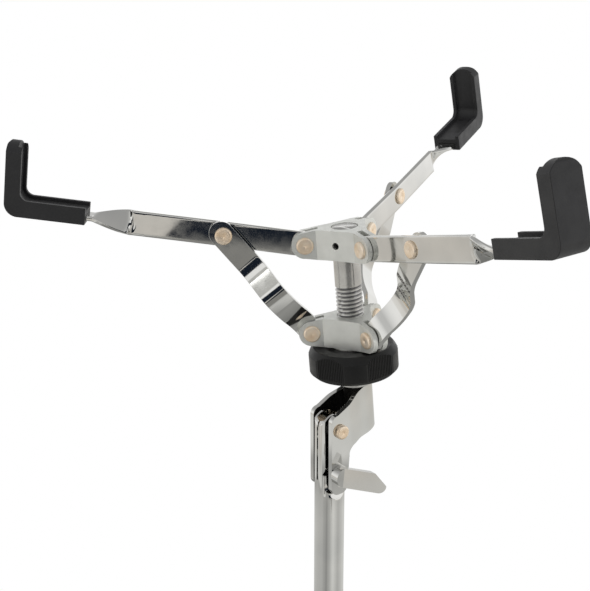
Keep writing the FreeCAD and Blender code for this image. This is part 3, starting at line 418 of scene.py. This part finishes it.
# Basket rod: turned steel, plain at the top and threaded below, with a ring nut on the bracket.
# Zinc plate keeps the turning marks, so it is duller than the chrome.
def cut_thread():
    """Zinc-plated cut thread: frosted by the die, with oil and shade in the grooves between the ridges."""
    material, tree, shader, place = new_material("cut_zinc_thread")
    shader.inputs["Metallic"].default_value = 1.0
    drift(tree, place, shader.inputs["Roughness"], size=0.002, low=0.30, high=0.40, detail=4.0)
    local = add(tree, "ShaderNodeMapping", {"vector_type": "TEXTURE"},
                {"Vector": place, "Location": basket_place, "Rotation": lean_turn.to_euler()})
    flat = add(tree, "ShaderNodeVectorMath", {"operation": "MULTIPLY"},
               {0: local.outputs["Vector"], 1: (1, 1, 0)})
    radius = add(tree, "ShaderNodeVectorMath", {"operation": "LENGTH"}, {0: flat.outputs[0]})
    level = add(tree, "ShaderNodeMapRange", None,
                {"Value": radius.outputs["Value"], "From Min": thread_root, "From Max": rod_radius})
    shades = ramp_between(tree, level.outputs["Result"],
                          [(groove_share, "#8C8B8D"), (ridge_share, "#E2E1DE")])
    tree.links.new(shades, shader.inputs["Base Color"])
    return material


def riveted_ends(point):
    """The foot is pressed narrow with the strap around it, and the top stands flush with the hub."""
    local = in_basket @ point
    if local.z < -rod_shoulder + shoulder_slack:
        local.y *= 1 - press_depth / strap_inner
    elif local.z > 0:
        local.z += end_rise
    return rod_line @ local


rod_radius = 0.0082
rod_shoulder = 0.0921
shoulder_slack = 1e-5
end_rise = 0.0009
thread_root = 0.0070
thread_top = 0.0268
groove_share = 0.10
ridge_share = 0.70
ring_nut_edge = 0.0006
basket_rod = finished("basket_rod", steel, sharp=24, press=riveted_ends)
# The rod's foot inside the strap is given the same painted shade.
shade_inside(basket_rod, gap_shade, lambda point: (in_basket @ point).z < -rod_shoulder)
basket_rod.data.materials.append(cut_thread())
for face in basket_rod.data.polygons:
    if -rod_shoulder < (in_basket @ face.center).z < -thread_top:
        face.material_index = 2
finished("thrust_washer", steel)
finished("rod_collar_nut", steel, edge=ring_nut_edge)


# Hand nut: a black nylon knob moulded round a brass insert, with a coned top and five ribbed flats.
# The ribs run up each flat to the cone, a little over a millimetre apart.
def turned_brass():
    """Plain turned brass, slightly dulled."""
    material, tree, shader, place = new_material("turned_brass")
    shader.inputs["Metallic"].default_value = 1.0
    drift(tree, place, shader.inputs["Base Color"], size=0.004, low="#CDAE6B", high="#B89A5A")
    drift(tree, place, shader.inputs["Roughness"], size=0.003, low=0.24, high=0.36)
    return material


def rib_tree():
    """Ribs on the flats of a knob about Z: each is trimmed where its flat runs into the cone."""
    tree = bpy.data.node_groups.new("ribbed_flats", "GeometryNodeTree")
    sizes = {"Flats": "NodeSocketInt", "Ribs": "NodeSocketInt", "Pitch": "NodeSocketFloat",
             "Rib Radius": "NodeSocketFloat", "Flat Reach": "NodeSocketFloat", "Foot": "NodeSocketFloat",
             "Rim": "NodeSocketFloat", "Rim Radius": "NodeSocketFloat", "Cone Slope": "NodeSocketFloat",
             "Material": "NodeSocketMaterial"}
    tree.interface.new_socket("Geometry", in_out="OUTPUT", socket_type="NodeSocketGeometry")
    for name, kind in sizes.items():
        tree.interface.new_socket(name, in_out="INPUT", socket_type=kind)
    given = add(tree, "NodeGroupInput").outputs
    profile = add(tree, "GeometryNodeCurvePrimitiveCircle", None,
                  {"Resolution": rib_sides, "Radius": given["Rib Radius"]})
    line = add(tree, "GeometryNodeCurvePrimitiveLine", None, {"Start": (0, 0, 0), "End": (0, 0, 1)})
    rib = add(tree, "GeometryNodeCurveToMesh", None,
              {"Curve": line.outputs["Curve"], "Profile Curve": profile.outputs["Curve"], "Fill Caps": True})
    gaps = add(tree, "ShaderNodeMath", {"operation": "SUBTRACT"}, {0: given["Ribs"], 1: 1.0})
    width = add(tree, "ShaderNodeMath", {"operation": "MULTIPLY"}, {0: gaps.outputs[0], 1: given["Pitch"]})
    first = add(tree, "ShaderNodeMath", {"operation": "MULTIPLY"}, {0: width.outputs[0], 1: -0.5})
    start = add(tree, "ShaderNodeCombineXYZ", None,
                {"X": given["Flat Reach"], "Y": first.outputs[0], "Z": given["Foot"]})
    step = add(tree, "ShaderNodeCombineXYZ", None, {"Y": given["Pitch"]})
    row = add(tree, "GeometryNodeMeshLine", {"mode": "OFFSET"},
              {"Count": given["Ribs"], "Start Location": start.outputs[0], "Offset": step.outputs[0]})
    place = add(tree, "GeometryNodeInputPosition")
    flat = add(tree, "ShaderNodeVectorMath", {"operation": "MULTIPLY"}, {0: place.outputs[0], 1: (1, 1, 0)})
    radius = add(tree, "ShaderNodeVectorMath", {"operation": "LENGTH"}, {0: flat.outputs[0]})
    past_rim = add(tree, "ShaderNodeMath", {"operation": "SUBTRACT"},
                   {0: radius.outputs["Value"], 1: given["Rim Radius"]})
    fall = add(tree, "ShaderNodeMath", {"operation": "MULTIPLY"},
               {0: past_rim.outputs[0], 1: given["Cone Slope"]})
    top = add(tree, "ShaderNodeMath", {"operation": "SUBTRACT"}, {0: given["Rim"], 1: fall.outputs[0]})
    height = add(tree, "ShaderNodeMath", {"operation": "SUBTRACT"}, {0: top.outputs[0], 1: given["Foot"]})
    stretch = add(tree, "ShaderNodeCombineXYZ", None, {"X": 1.0, "Y": 1.0, "Z": height.outputs[0]})
    on_flat = add(tree, "GeometryNodeInstanceOnPoints", None,
                  {"Points": row.outputs["Mesh"], "Instance": rib.outputs["Mesh"],
                   "Scale": stretch.outputs[0]})
    centre = add(tree, "GeometryNodePoints", None, {"Count": given["Flats"]})
    index = add(tree, "GeometryNodeInputIndex")
    share = add(tree, "ShaderNodeMath", {"operation": "DIVIDE"}, {0: index.outputs[0], 1: given["Flats"]})
    angle = add(tree, "ShaderNodeMath", {"operation": "MULTIPLY"}, {0: share.outputs[0], 1: math.tau})
    turn = add(tree, "ShaderNodeCombineXYZ", None, {"Z": angle.outputs[0]})
    turned = add(tree, "FunctionNodeEulerToRotation", None, {"Euler": turn.outputs[0]})
    around = add(tree, "GeometryNodeInstanceOnPoints", None,
                 {"Points": centre.outputs[0], "Instance": on_flat.outputs[0], "Rotation": turned.outputs[0]})
    real = add(tree, "GeometryNodeRealizeInstances", None, {"Geometry": around.outputs[0]})
    painted = add(tree, "GeometryNodeSetMaterial", None,
                  {"Geometry": real.outputs[0], "Material": given["Material"]})
    add(tree, "NodeGroupOutput", None, {"Geometry": painted.outputs[0]})
    return tree


def grown(name, tree, values, place):
    """Runs a node tree with the given sizes and keeps the result as a plain mesh, moved to its place."""
    seed = in_scene(name + "_seed", bpy.data.meshes.new(name + "_seed"))
    modifier = seed.modifiers.new("tree", "NODES")
    modifier.node_group = tree
    for item in tree.interface.items_tree:
        if item.in_out == "INPUT":
            modifier[item.identifier] = values[item.name]
    evaluated = seed.evaluated_get(bpy.context.evaluated_depsgraph_get())
    mesh = bpy.data.meshes.new_from_object(evaluated)
    mesh.name = name
    bpy.data.objects.remove(seed)
    mesh.transform(place)
    mesh.shade_smooth()
    return in_scene(name, mesh)


brass = turned_brass()
dress("nut_insert", brass)
nut_edge = 0.0005
finished("adjusting_nut", nylon, edge=nut_edge, sharp=20)
nut_turn = math.radians(-16)
nut_top = 0.0669
nut_rim = 0.0011
nut_height = 0.0171
nut_foot_chamfer = 0.0024
nut_cone_height = 0.0046
nut_rim_radius = 0.0248
nut_radius = 0.0278
nut_flats = 5
flat_reach = 0.0258
flat_ribs = 15
rib_pitch = 0.00125
rib_radius = 0.00042
rib_sides = 8
nut_place = rod_line @ Matrix.Translation((0, 0, -nut_top)) @ Matrix.Rotation(nut_turn, 4, "Z")
ribs = grown("nut_ribs", rib_tree(), {
    "Flats": nut_flats, "Ribs": flat_ribs, "Pitch": rib_pitch, "Rib Radius": rib_radius,
    "Flat Reach": flat_reach, "Foot": nut_foot_chamfer - nut_height, "Rim": nut_rim,
    "Rim Radius": nut_rim_radius, "Cone Slope": nut_cone_height / (nut_radius - nut_rim_radius),
    "Material": nylon}, nut_place)
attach(ribs, "adjusting_nut")

# Lower hub: a satin casting that slides on the rod and carries the struts' lower ends between its ears.
# Rivets like those of the tripod go through the ears.
cast_piece("lower_hub")
finished("lower_hub_rivets", nickel)

# Struts: short chromed strips, bent out past the upper hub's ears and back into the lower hub's forks.
# The bends are pressed with a small radius, and each flat length between them has its own reflection.
strut_bend = 0.0056
for number in (1, 2, 3):
    finished(f"strut_{number}", chrome, edge=strip_edge, steps=3, sharp=50, bend=strut_bend)
    dress(f"strut_washer_{number}", nylon)

# Upper hub: the casting that is locked on top of the rod by a black set screw; the arms hinge in its forks.
# The same satin lacquer as the lower hub.
cast_piece("upper_hub")
dress("hub_set_screw", oxide)
finished("upper_hub_rivets", nickel)

# Arms: chromed strips on edge, set over a little beside the fork, their far ends twisted flat for the grips.
# Each is one length of strip twisted cold, which leaves a pressed crescent where the twist starts.
arm_half = 0.0077
arm_thickness = 0.003
arm_edge = 0.0009
arm_offset_run = (0.009, 0.047)
arm_offset = 0.0012
crease_run = 0.008
twist_start = 0.1045
twist_length = 0.0235
full_twist = 90
twist_crease_share = 0.17
crease_end_share = 0.07
tongue_half = 0.006
tongue_shift = 0.0022
tongue_height = 0.0003
tongue_corner = 0.004
upright_reach = 0.175
upright_top = 0.0321
crescent_depth = 0.00035
crescent_bow = 0.0028
crescent_breadth = 0.0011
crescent_middle_share = 0.4
crescent_fade = 1.4
arm_rivet_reach = 0.049
rivet_hole = 0.00306
# How finely the strip is divided: points round its section, and rings along it.
edge_points = 4
face_points = 12
end_angle = 88
end_rings = 10
fork_rings = 4
offset_rings = 10
straight_rings = 10
crease_rings = 24
twist_rings = 48
tongue_rings = 8
corner_rings = 8
hole_sides = 32


def spaced(first, last, count):
    """Evenly spaced values from the first, up to but without the last."""
    return [first + (last - first) * step / count for step in range(count)]


def section(half_width, half_thickness, edge):
    """Points round a strip's section, its edges rolled round, as distances along its width and thickness."""
    points = []
    for quarter, (wide, thick) in enumerate(((1, -1), (1, 1), (-1, 1), (-1, -1))):
        middle = (wide * (half_width - edge), thick * (half_thickness - edge))
        for turn in spaced(quarter - 1, quarter, edge_points) + [quarter]:
            angle = turn * math.pi / 2
            points.append((middle[0] + edge * math.cos(angle), middle[1] + edge * math.sin(angle)))
        if wide == thick:
            for run in spaced(middle[0], -middle[0], face_points)[1:]:
                points.append((run, thick * half_thickness))
    return points


def arm_stations():
    """Along the arm up to its tongue: the section's middle, its twist in degrees and half its width."""
    stations = []
    for angle in spaced(end_angle, 0, end_rings):
        reach = arm_half * math.sin(math.radians(angle))
        half_width = max(arm_half * math.cos(math.radians(angle)), 2 * arm_edge)
        stations.append((Vector((-reach, 0, 0)), 0, half_width))
    first, last = arm_offset_run
    crease_start = twist_start - crease_run
    lengths = spaced(0, first, fork_rings) + spaced(first, last, offset_rings)
    lengths += spaced(last, crease_start, straight_rings) + spaced(crease_start, twist_start, crease_rings)
    for reach in lengths:
        share = min(max((reach - first) / (last - first), 0), 1)
        stations.append((Vector((reach, -arm_offset * share, 0)), 0, arm_half))
    for share in spaced(0, 1, twist_rings):
        reach = twist_start + twist_length * share
        aside = -arm_offset + (arm_offset - tongue_shift) * share
        crease = twist_crease_share * min(share / crease_end_share, 1)
        twist = full_twist * (crease + (1 - twist_crease_share) * share)
        half_width = arm_half + (tongue_half - arm_half) * share
        stations.append((Vector((reach, aside, tongue_height * share)), twist, half_width))
    return stations


def arm_rings():
    """Rings of points along the strip, from its round end in the fork to the upright end inside the grip."""
    rings = []
    for middle, angle, half_width in arm_stations():
        width = Vector((0, -math.sin(math.radians(angle)), math.cos(math.radians(angle))))
        normal = Vector((0, math.cos(math.radians(angle)), math.sin(math.radians(angle))))
        ring = []
        for run, depth in section(half_width, arm_thickness / 2, arm_edge):
            share = run / half_width
            bow = crescent_bow * (share * share - crescent_middle_share)
            mark = (middle.x - twist_start - bow) / crescent_breadth
            dent = crescent_depth * math.exp(-mark * mark) * max(1 - crescent_fade * share * share, 0)
            ring.append(middle + width * run + normal * (depth - math.copysign(dent, depth)))
        rings.append(ring)
    corner = Vector((upright_reach - tongue_corner, -tongue_shift, tongue_height + tongue_corner))
    tongue = [(Vector((reach, -tongue_shift, tongue_height)), 0)
              for reach in spaced(twist_start + twist_length, corner.x, tongue_rings)]
    tongue += [(corner + tongue_corner * Vector((math.sin(angle), 0, -math.cos(angle))), angle)
               for angle in spaced(0, math.pi / 2, corner_rings)]
    tongue += [(Vector((upright_reach, -tongue_shift, height)), math.pi / 2)
               for height in (corner.z, upright_top)]
    for middle, angle in tongue:
        normal = Vector((-math.sin(angle), 0, math.cos(angle)))
        rings.append([middle + Vector((0, -run, 0)) + normal * depth
                      for run, depth in section(tongue_half, arm_thickness / 2, arm_edge)])
    return rings


def drill(piece, places, axis, radius):
    """Cuts round holes through a piece and keeps the result as its mesh."""
    form = bmesh.new()
    for place in places:
        stand = Matrix.Translation(place) @ axis.to_track_quat("Z", "Y").to_matrix().to_4x4()
        bmesh.ops.create_cone(form, cap_ends=True, segments=hole_sides, radius1=radius, radius2=radius,
                              depth=4 * arm_half, matrix=stand)
    bits_mesh = bpy.data.meshes.new("drill_bits")
    form.to_mesh(bits_mesh)
    form.free()
    bits = in_scene("drill_bits", bits_mesh)
    holes = piece.modifiers.new("holes", "BOOLEAN")
    holes.object = bits
    holes.solver = "EXACT"
    evaluated = piece.evaluated_get(bpy.context.evaluated_depsgraph_get())
    drilled = bpy.data.meshes.new_from_object(evaluated)
    piece.modifiers.remove(holes)
    piece.data = drilled
    bpy.data.objects.remove(bits)


def swept_arm(number):
    """The whole strip as one mesh at its place on the stand, with its two rivet holes."""
    form = bmesh.new()
    rows = [[form.verts.new(point) for point in ring] for ring in arm_rings()]
    for row, after in zip(rows, rows[1:]):
        for place in range(len(row)):
            following = (place + 1) % len(row)
            form.faces.new((row[place], row[following], after[following], after[place]))
    form.faces.new(rows[0])
    form.faces.new(rows[-1])
    bmesh.ops.recalc_face_normals(form, faces=form.faces)
    pin = Vector(joints[f"arm_{number}_swing"]["pos_m"])
    along = (Vector(joints[f"strut_{number}_swing"]["pos_m"]) - pin).normalized()
    aside = -Vector(joints[f"arm_{number}_swing"]["axis"])
    turn = Matrix((along, aside, along.cross(aside))).transposed().to_4x4()
    form.transform(Matrix.Translation(pin) @ turn)
    mesh = bpy.data.meshes.new(f"arm_{number}_swept")
    form.to_mesh(mesh)
    form.free()
    mesh.materials.append(chrome)
    mesh.shade_smooth()
    piece = in_scene(f"arm_{number}_swept", mesh)
    drill(piece, [pin, pin + along * arm_rivet_reach], aside, rivet_hole)
    even_faces(piece)
    return piece


for number in (1, 2, 3):
    arm = swept_arm(number)
    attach(arm, nodes[f"arm_{number}"]["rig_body"])
    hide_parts(f"arm_{number}")
    finished(f"arm_rivet_{number}", nickel)

# Grips: L-shaped rubber boots pulled over the arms' ends, which hold the drum's hoop.
# Moulded rubber with rounded rims round a shallow trough.
grip_edge = 0.0013
for number in (1, 2, 3):
    finished(f"grip_{number}", rubber, edge=grip_edge, steps=4)

# Studio floor: a white sweep. Near the stand it is matt and keeps the stand's shadow.
# Farther off it shows as plain white.
floor_size = 40
floor_drop = 0.0005
shadow_reach = 0.45
white_reach = 0.58


def white_floor():
    """Matt white paint, which turns into an even glow of white for the camera and the mirrors far off."""
    material, tree, shader, place = new_material("white_studio_floor")
    shader.inputs["Roughness"].default_value = 0.9
    shader.inputs["Base Color"].default_value = linear("#F2F2F0")
    distance = add(tree, "ShaderNodeVectorMath", {"operation": "LENGTH"}, {0: place})
    far = add(tree, "ShaderNodeMapRange", None,
              {"Value": distance.outputs["Value"], "From Min": shadow_reach, "From Max": white_reach})
    path = add(tree, "ShaderNodeLightPath")
    seen = add(tree, "ShaderNodeMath", {"operation": "MAXIMUM"},
               {0: path.outputs["Is Camera Ray"], 1: path.outputs["Is Glossy Ray"]})
    either = add(tree, "ShaderNodeMath", {"operation": "MAXIMUM"},
                 {0: seen.outputs[0], 1: path.outputs["Is Transmission Ray"]})
    share = add(tree, "ShaderNodeMath", {"operation": "MULTIPLY"},
                {0: either.outputs[0], 1: far.outputs["Result"]})
    white = add(tree, "ShaderNodeEmission", None, {"Color": (1, 1, 1, 1), "Strength": 1.0})
    mix = add(tree, "ShaderNodeMixShader", None,
              {0: share.outputs[0], 1: shader.outputs["BSDF"], 2: white.outputs["Emission"]})
    tree.links.new(mix.outputs["Shader"], tree.nodes["Material Output"].inputs["Surface"])
    return material


def stage_card(name, material, corners, place=(0, 0, 0), turn=(0, 0, 0)):
    """A flat card of the studio with the given corners, moved and turned."""
    mesh = bpy.data.meshes.new(name)
    mesh.from_pydata(corners, [], [tuple(range(len(corners)))])
    mesh.materials.append(material)
    card = in_scene(name, mesh)
    card.location = place
    card.rotation_euler = turn
    return card


def rectangle(width, height):
    """The corners of a rectangle round the origin."""
    across = width / 2
    up = height / 2
    return [(-across, -up, 0), (across, -up, 0), (across, up, 0), (-across, up, 0)]


stage_card("floor", white_floor(), rectangle(floor_size, floor_size), place=(0, 0, -floor_drop))

# Cards that only the chrome mirrors, placed and shaded by trial: a grey floor cloth in broad bands, with a
# darker and a lighter cloth on it, dark boards behind the camera, a grey wall and a strip light on the left,
# and a softbox at the back. Without them a mirror in a white room has no form.
cloth_size = 14
cloth_lift = 0.0002
side_cloth_lift = 0.0006
lever_cloth_lift = 0.0009
# Up to the first distance the cloth's shade goes by direction too, from the second on it doesn't.
shaded_reach = 0.88
unshaded_reach = 1.05
# The Mix node has its sockets once for each kind of data, so those for colours are taken by number.
first_colour = 6
second_colour = 7
mixed_colour = 2


def card_material(name, colour, strength=1.0):
    """A card that glows evenly."""
    material = bpy.data.materials.new(name)
    material.use_nodes = True
    tree = material.node_tree
    tree.nodes.remove(tree.nodes["Principled BSDF"])
    glow = add(tree, "ShaderNodeEmission", {"name": "glow"}, {"Color": linear(colour), "Strength": strength})
    tree.links.new(glow.outputs["Emission"], tree.nodes["Material Output"].inputs["Surface"])
    return material


def banded_cloth(name, near, around):
    """A white card under two ramps: near is its shade by distance, around dims it by direction, close by."""
    material = card_material(name, "#FFFFFF")
    tree = material.node_tree
    place = add(tree, "ShaderNodeTexCoord").outputs["Object"]
    distance = add(tree, "ShaderNodeVectorMath", {"operation": "LENGTH"}, {0: place}).outputs["Value"]
    reach = max(radius for radius, _ in near)
    share = add(tree, "ShaderNodeMath", {"operation": "DIVIDE"}, {0: distance, 1: reach})
    bands = ramp_between(tree, share.outputs[0], [(radius / reach, shade) for radius, shade in near])
    axes = add(tree, "ShaderNodeSeparateXYZ", None, {0: place})
    angle = add(tree, "ShaderNodeMath", {"operation": "ARCTAN2"},
                {0: axes.outputs["Y"], 1: axes.outputs["X"]})
    turn = add(tree, "ShaderNodeMapRange", None,
               {"Value": angle.outputs[0], "From Min": -math.pi, "From Max": math.pi})
    sides = ramp_between(tree, turn.outputs["Result"], [(way / 360 + 0.5, shade) for way, shade in around])
    close_by = add(tree, "ShaderNodeMapRange", None,
                   {"Value": distance, "From Min": shaded_reach, "From Max": unshaded_reach,
                    "To Min": 1.0, "To Max": 0.0})
    mixed = add(tree, "ShaderNodeMix", {"data_type": "RGBA", "blend_type": "MULTIPLY"},
                {"Factor": close_by.outputs["Result"], first_colour: bands, second_colour: sides})
    tree.links.new(mixed.outputs[mixed_colour], tree.nodes["glow"].inputs["Color"])
    return material


def only_mirrored(card):
    """Hides a card from everything but mirrors."""
    card.visible_camera = False
    card.visible_diffuse = False
    card.visible_shadow = False


def facing_card(name, material, width, height, place, aim, roll=0):
    """A rectangular card that faces a point, turned about its own middle. Only mirrors see it."""
    facing = (Vector(aim) - Vector(place)).to_track_quat("Z", "Y")
    turn = (facing @ Quaternion((0, 0, 1), math.radians(roll))).to_euler()
    only_mirrored(stage_card(name, material, rectangle(width, height), place, turn))


cloth = banded_cloth(
    "grey_floor_cloth",
    near=[(0.2, "#9C9C9A"), (0.56, "#A2A2A0"), (0.64, "#E6E6E4"), (0.86, "#E6E6E4"), (1.02, "#ACACAA"),
          (1.08, "#E2E2E0"), (1.26, "#DADAD7"), (1.65, "#D0CCC6"), (4.5, "#F4F3F1"), (6.0, "#FFFFFF")],
    around=[(-180, "#D8D8D8"), (-145, "#B0B0B0"), (-95, "#FFFFFF"), (-55, "#D8D8D8"), (0, "#F8F8F8"),
            (180, "#D8D8D8")])
only_mirrored(stage_card("floor_cloth", cloth, rectangle(cloth_size, cloth_size), place=(0, 0, cloth_lift)))

# The large board stands upright behind the camera. Its outline is given as distances to the left and up.
board = card_material("dark_blue_board", "#1A212C")
board_foot = Vector((-0.54, -1.36, 0.0))
board_left = Vector((board_foot.y, -board_foot.x, 0.0)).normalized()
board_outline = ((0.63, 0.072), (-0.55, 0.072), (-0.55, 1.23), (0.42, 1.23), (0.42, 0.35), (0.57, 0.135))
board_corners = [board_foot + board_left * aside + Vector((0, 0, up)) for aside, up in board_outline]
only_mirrored(stage_card("camera_board", board, board_corners))
facing_card("camera_board_left", board, width=0.5, height=0.30,
            place=(-1.15, -0.90, 0.37), aim=(0.0, 0.0, 0.37))
facing_card("camera_side_cloth", card_material("dim_floor_cloth", "#908F8C"), width=1.0, height=0.55,
            place=(-0.75, -1.10, side_cloth_lift), aim=(-0.75, -1.10, 1.0))
facing_card("lever_cloth", card_material("light_floor_cloth", "#CECDCA"), width=0.15, height=0.3,
            place=(-1.175, -1.01, lever_cloth_lift), aim=(-1.175, -1.01, 1.0))
facing_card("left_wall", card_material("grey_left_wall", "#C8C8C6"), width=1.0, height=0.72,
            place=(-1.755, -0.47, 1.12), aim=(0.0, 0.0, 0.58))
facing_card("left_strip_light", card_material("strip_light_front", "#FFFFFF", strength=3.2),
            width=0.015, height=0.16, place=(-1.383, -0.540, 0.908), aim=(-0.037, 0.023, 0.5655), roll=45)
facing_card("back_softbox", card_material("softbox_front", "#FFFFFF", strength=1.4), width=0.6, height=0.36,
            place=(1.08, 1.58, 1.23), aim=(0.0, 0.0, 0.6))

# Room: white to the camera, and dimmer as a source of light.
# In the mirrors it is white at the horizon and grey above.
ambient_level = 0.5
ceiling_level = 0.42
ceiling_start = 0.6
world = bpy.data.worlds.new("studio")
world.use_nodes = True
bpy.context.scene.world = world
sky = world.node_tree
path = add(sky, "ShaderNodeLightPath")
way = add(sky, "ShaderNodeTexCoord").outputs["Generated"]
direction = add(sky, "ShaderNodeSeparateXYZ", None, {0: way})
ceiling = add(sky, "ShaderNodeMapRange", {"interpolation_type": "SMOOTHSTEP"},
              {"Value": direction.outputs["Z"], "From Min": 0.0, "From Max": ceiling_start,
               "To Min": 1.0, "To Max": ceiling_level})
plain = add(sky, "ShaderNodeMapRange", None,
            {"Value": path.outputs["Is Camera Ray"], "To Min": ambient_level, "To Max": 1.0})
mirrored = add(sky, "ShaderNodeMath", {"operation": "MAXIMUM"},
               {0: path.outputs["Is Glossy Ray"], 1: path.outputs["Is Transmission Ray"]})
level = add(sky, "ShaderNodeMix", {"data_type": "FLOAT"},
            {"Factor": mirrored.outputs[0], "A": plain.outputs["Result"], "B": ceiling.outputs["Result"]})
sky.links.new(level.outputs["Result"], sky.nodes["Background"].inputs["Strength"])
sky.nodes["Background"].inputs["Color"].default_value = (1, 1, 1, 1)


# Lamps: three large softboxes in front, at the right and overhead, aimed at the basket.
# Mirrors don't show them, because the cards stand for what the chrome reflects.
def lamp(name, place, size, power):
    """A square softbox aimed at the basket. size is its side in metres, power is in watts."""
    light = bpy.data.lights.new(name, "AREA")
    light.shape = "SQUARE"
    light.size = size
    light.energy = power
    holder = in_scene(name, light)
    holder.location = place
    holder.rotation_euler = (Vector(basket_middle) - Vector(place)).to_track_quat("-Z", "Y").to_euler()
    holder.visible_glossy = False


basket_middle = (0.01, 0.0, 0.58)
lamp("key_softbox", place=(-0.15, -1.15, 1.75), size=2.4, power=14)
lamp("fill_softbox", place=(1.2, -0.7, 1.2), size=1.8, power=6)
lamp("top_softbox", place=(0.2, 0.5, 2.0), size=2.4, power=6)

# Camera: the photograph's, fitted to the rivets, hubs and grips.
# It looks down on the basket from the front left.
camera = bpy.data.cameras.new("camera")
camera.lens = 67.88
camera.sensor_width = 36
camera.sensor_fit = "AUTO"
camera.clip_start = 0.02
camera_holder = in_scene("camera", camera)
camera_holder.location = (-0.3797, -0.5277, 0.7349)
look = Vector((0.53715, 0.80208, -0.26106))
camera_holder.rotation_mode = "QUATERNION"
camera_holder.rotation_quaternion = look.to_track_quat("-Z", "Y")
bpy.context.scene.camera = camera_holder
bpy.context.scene.view_settings.view_transform = "Standard"
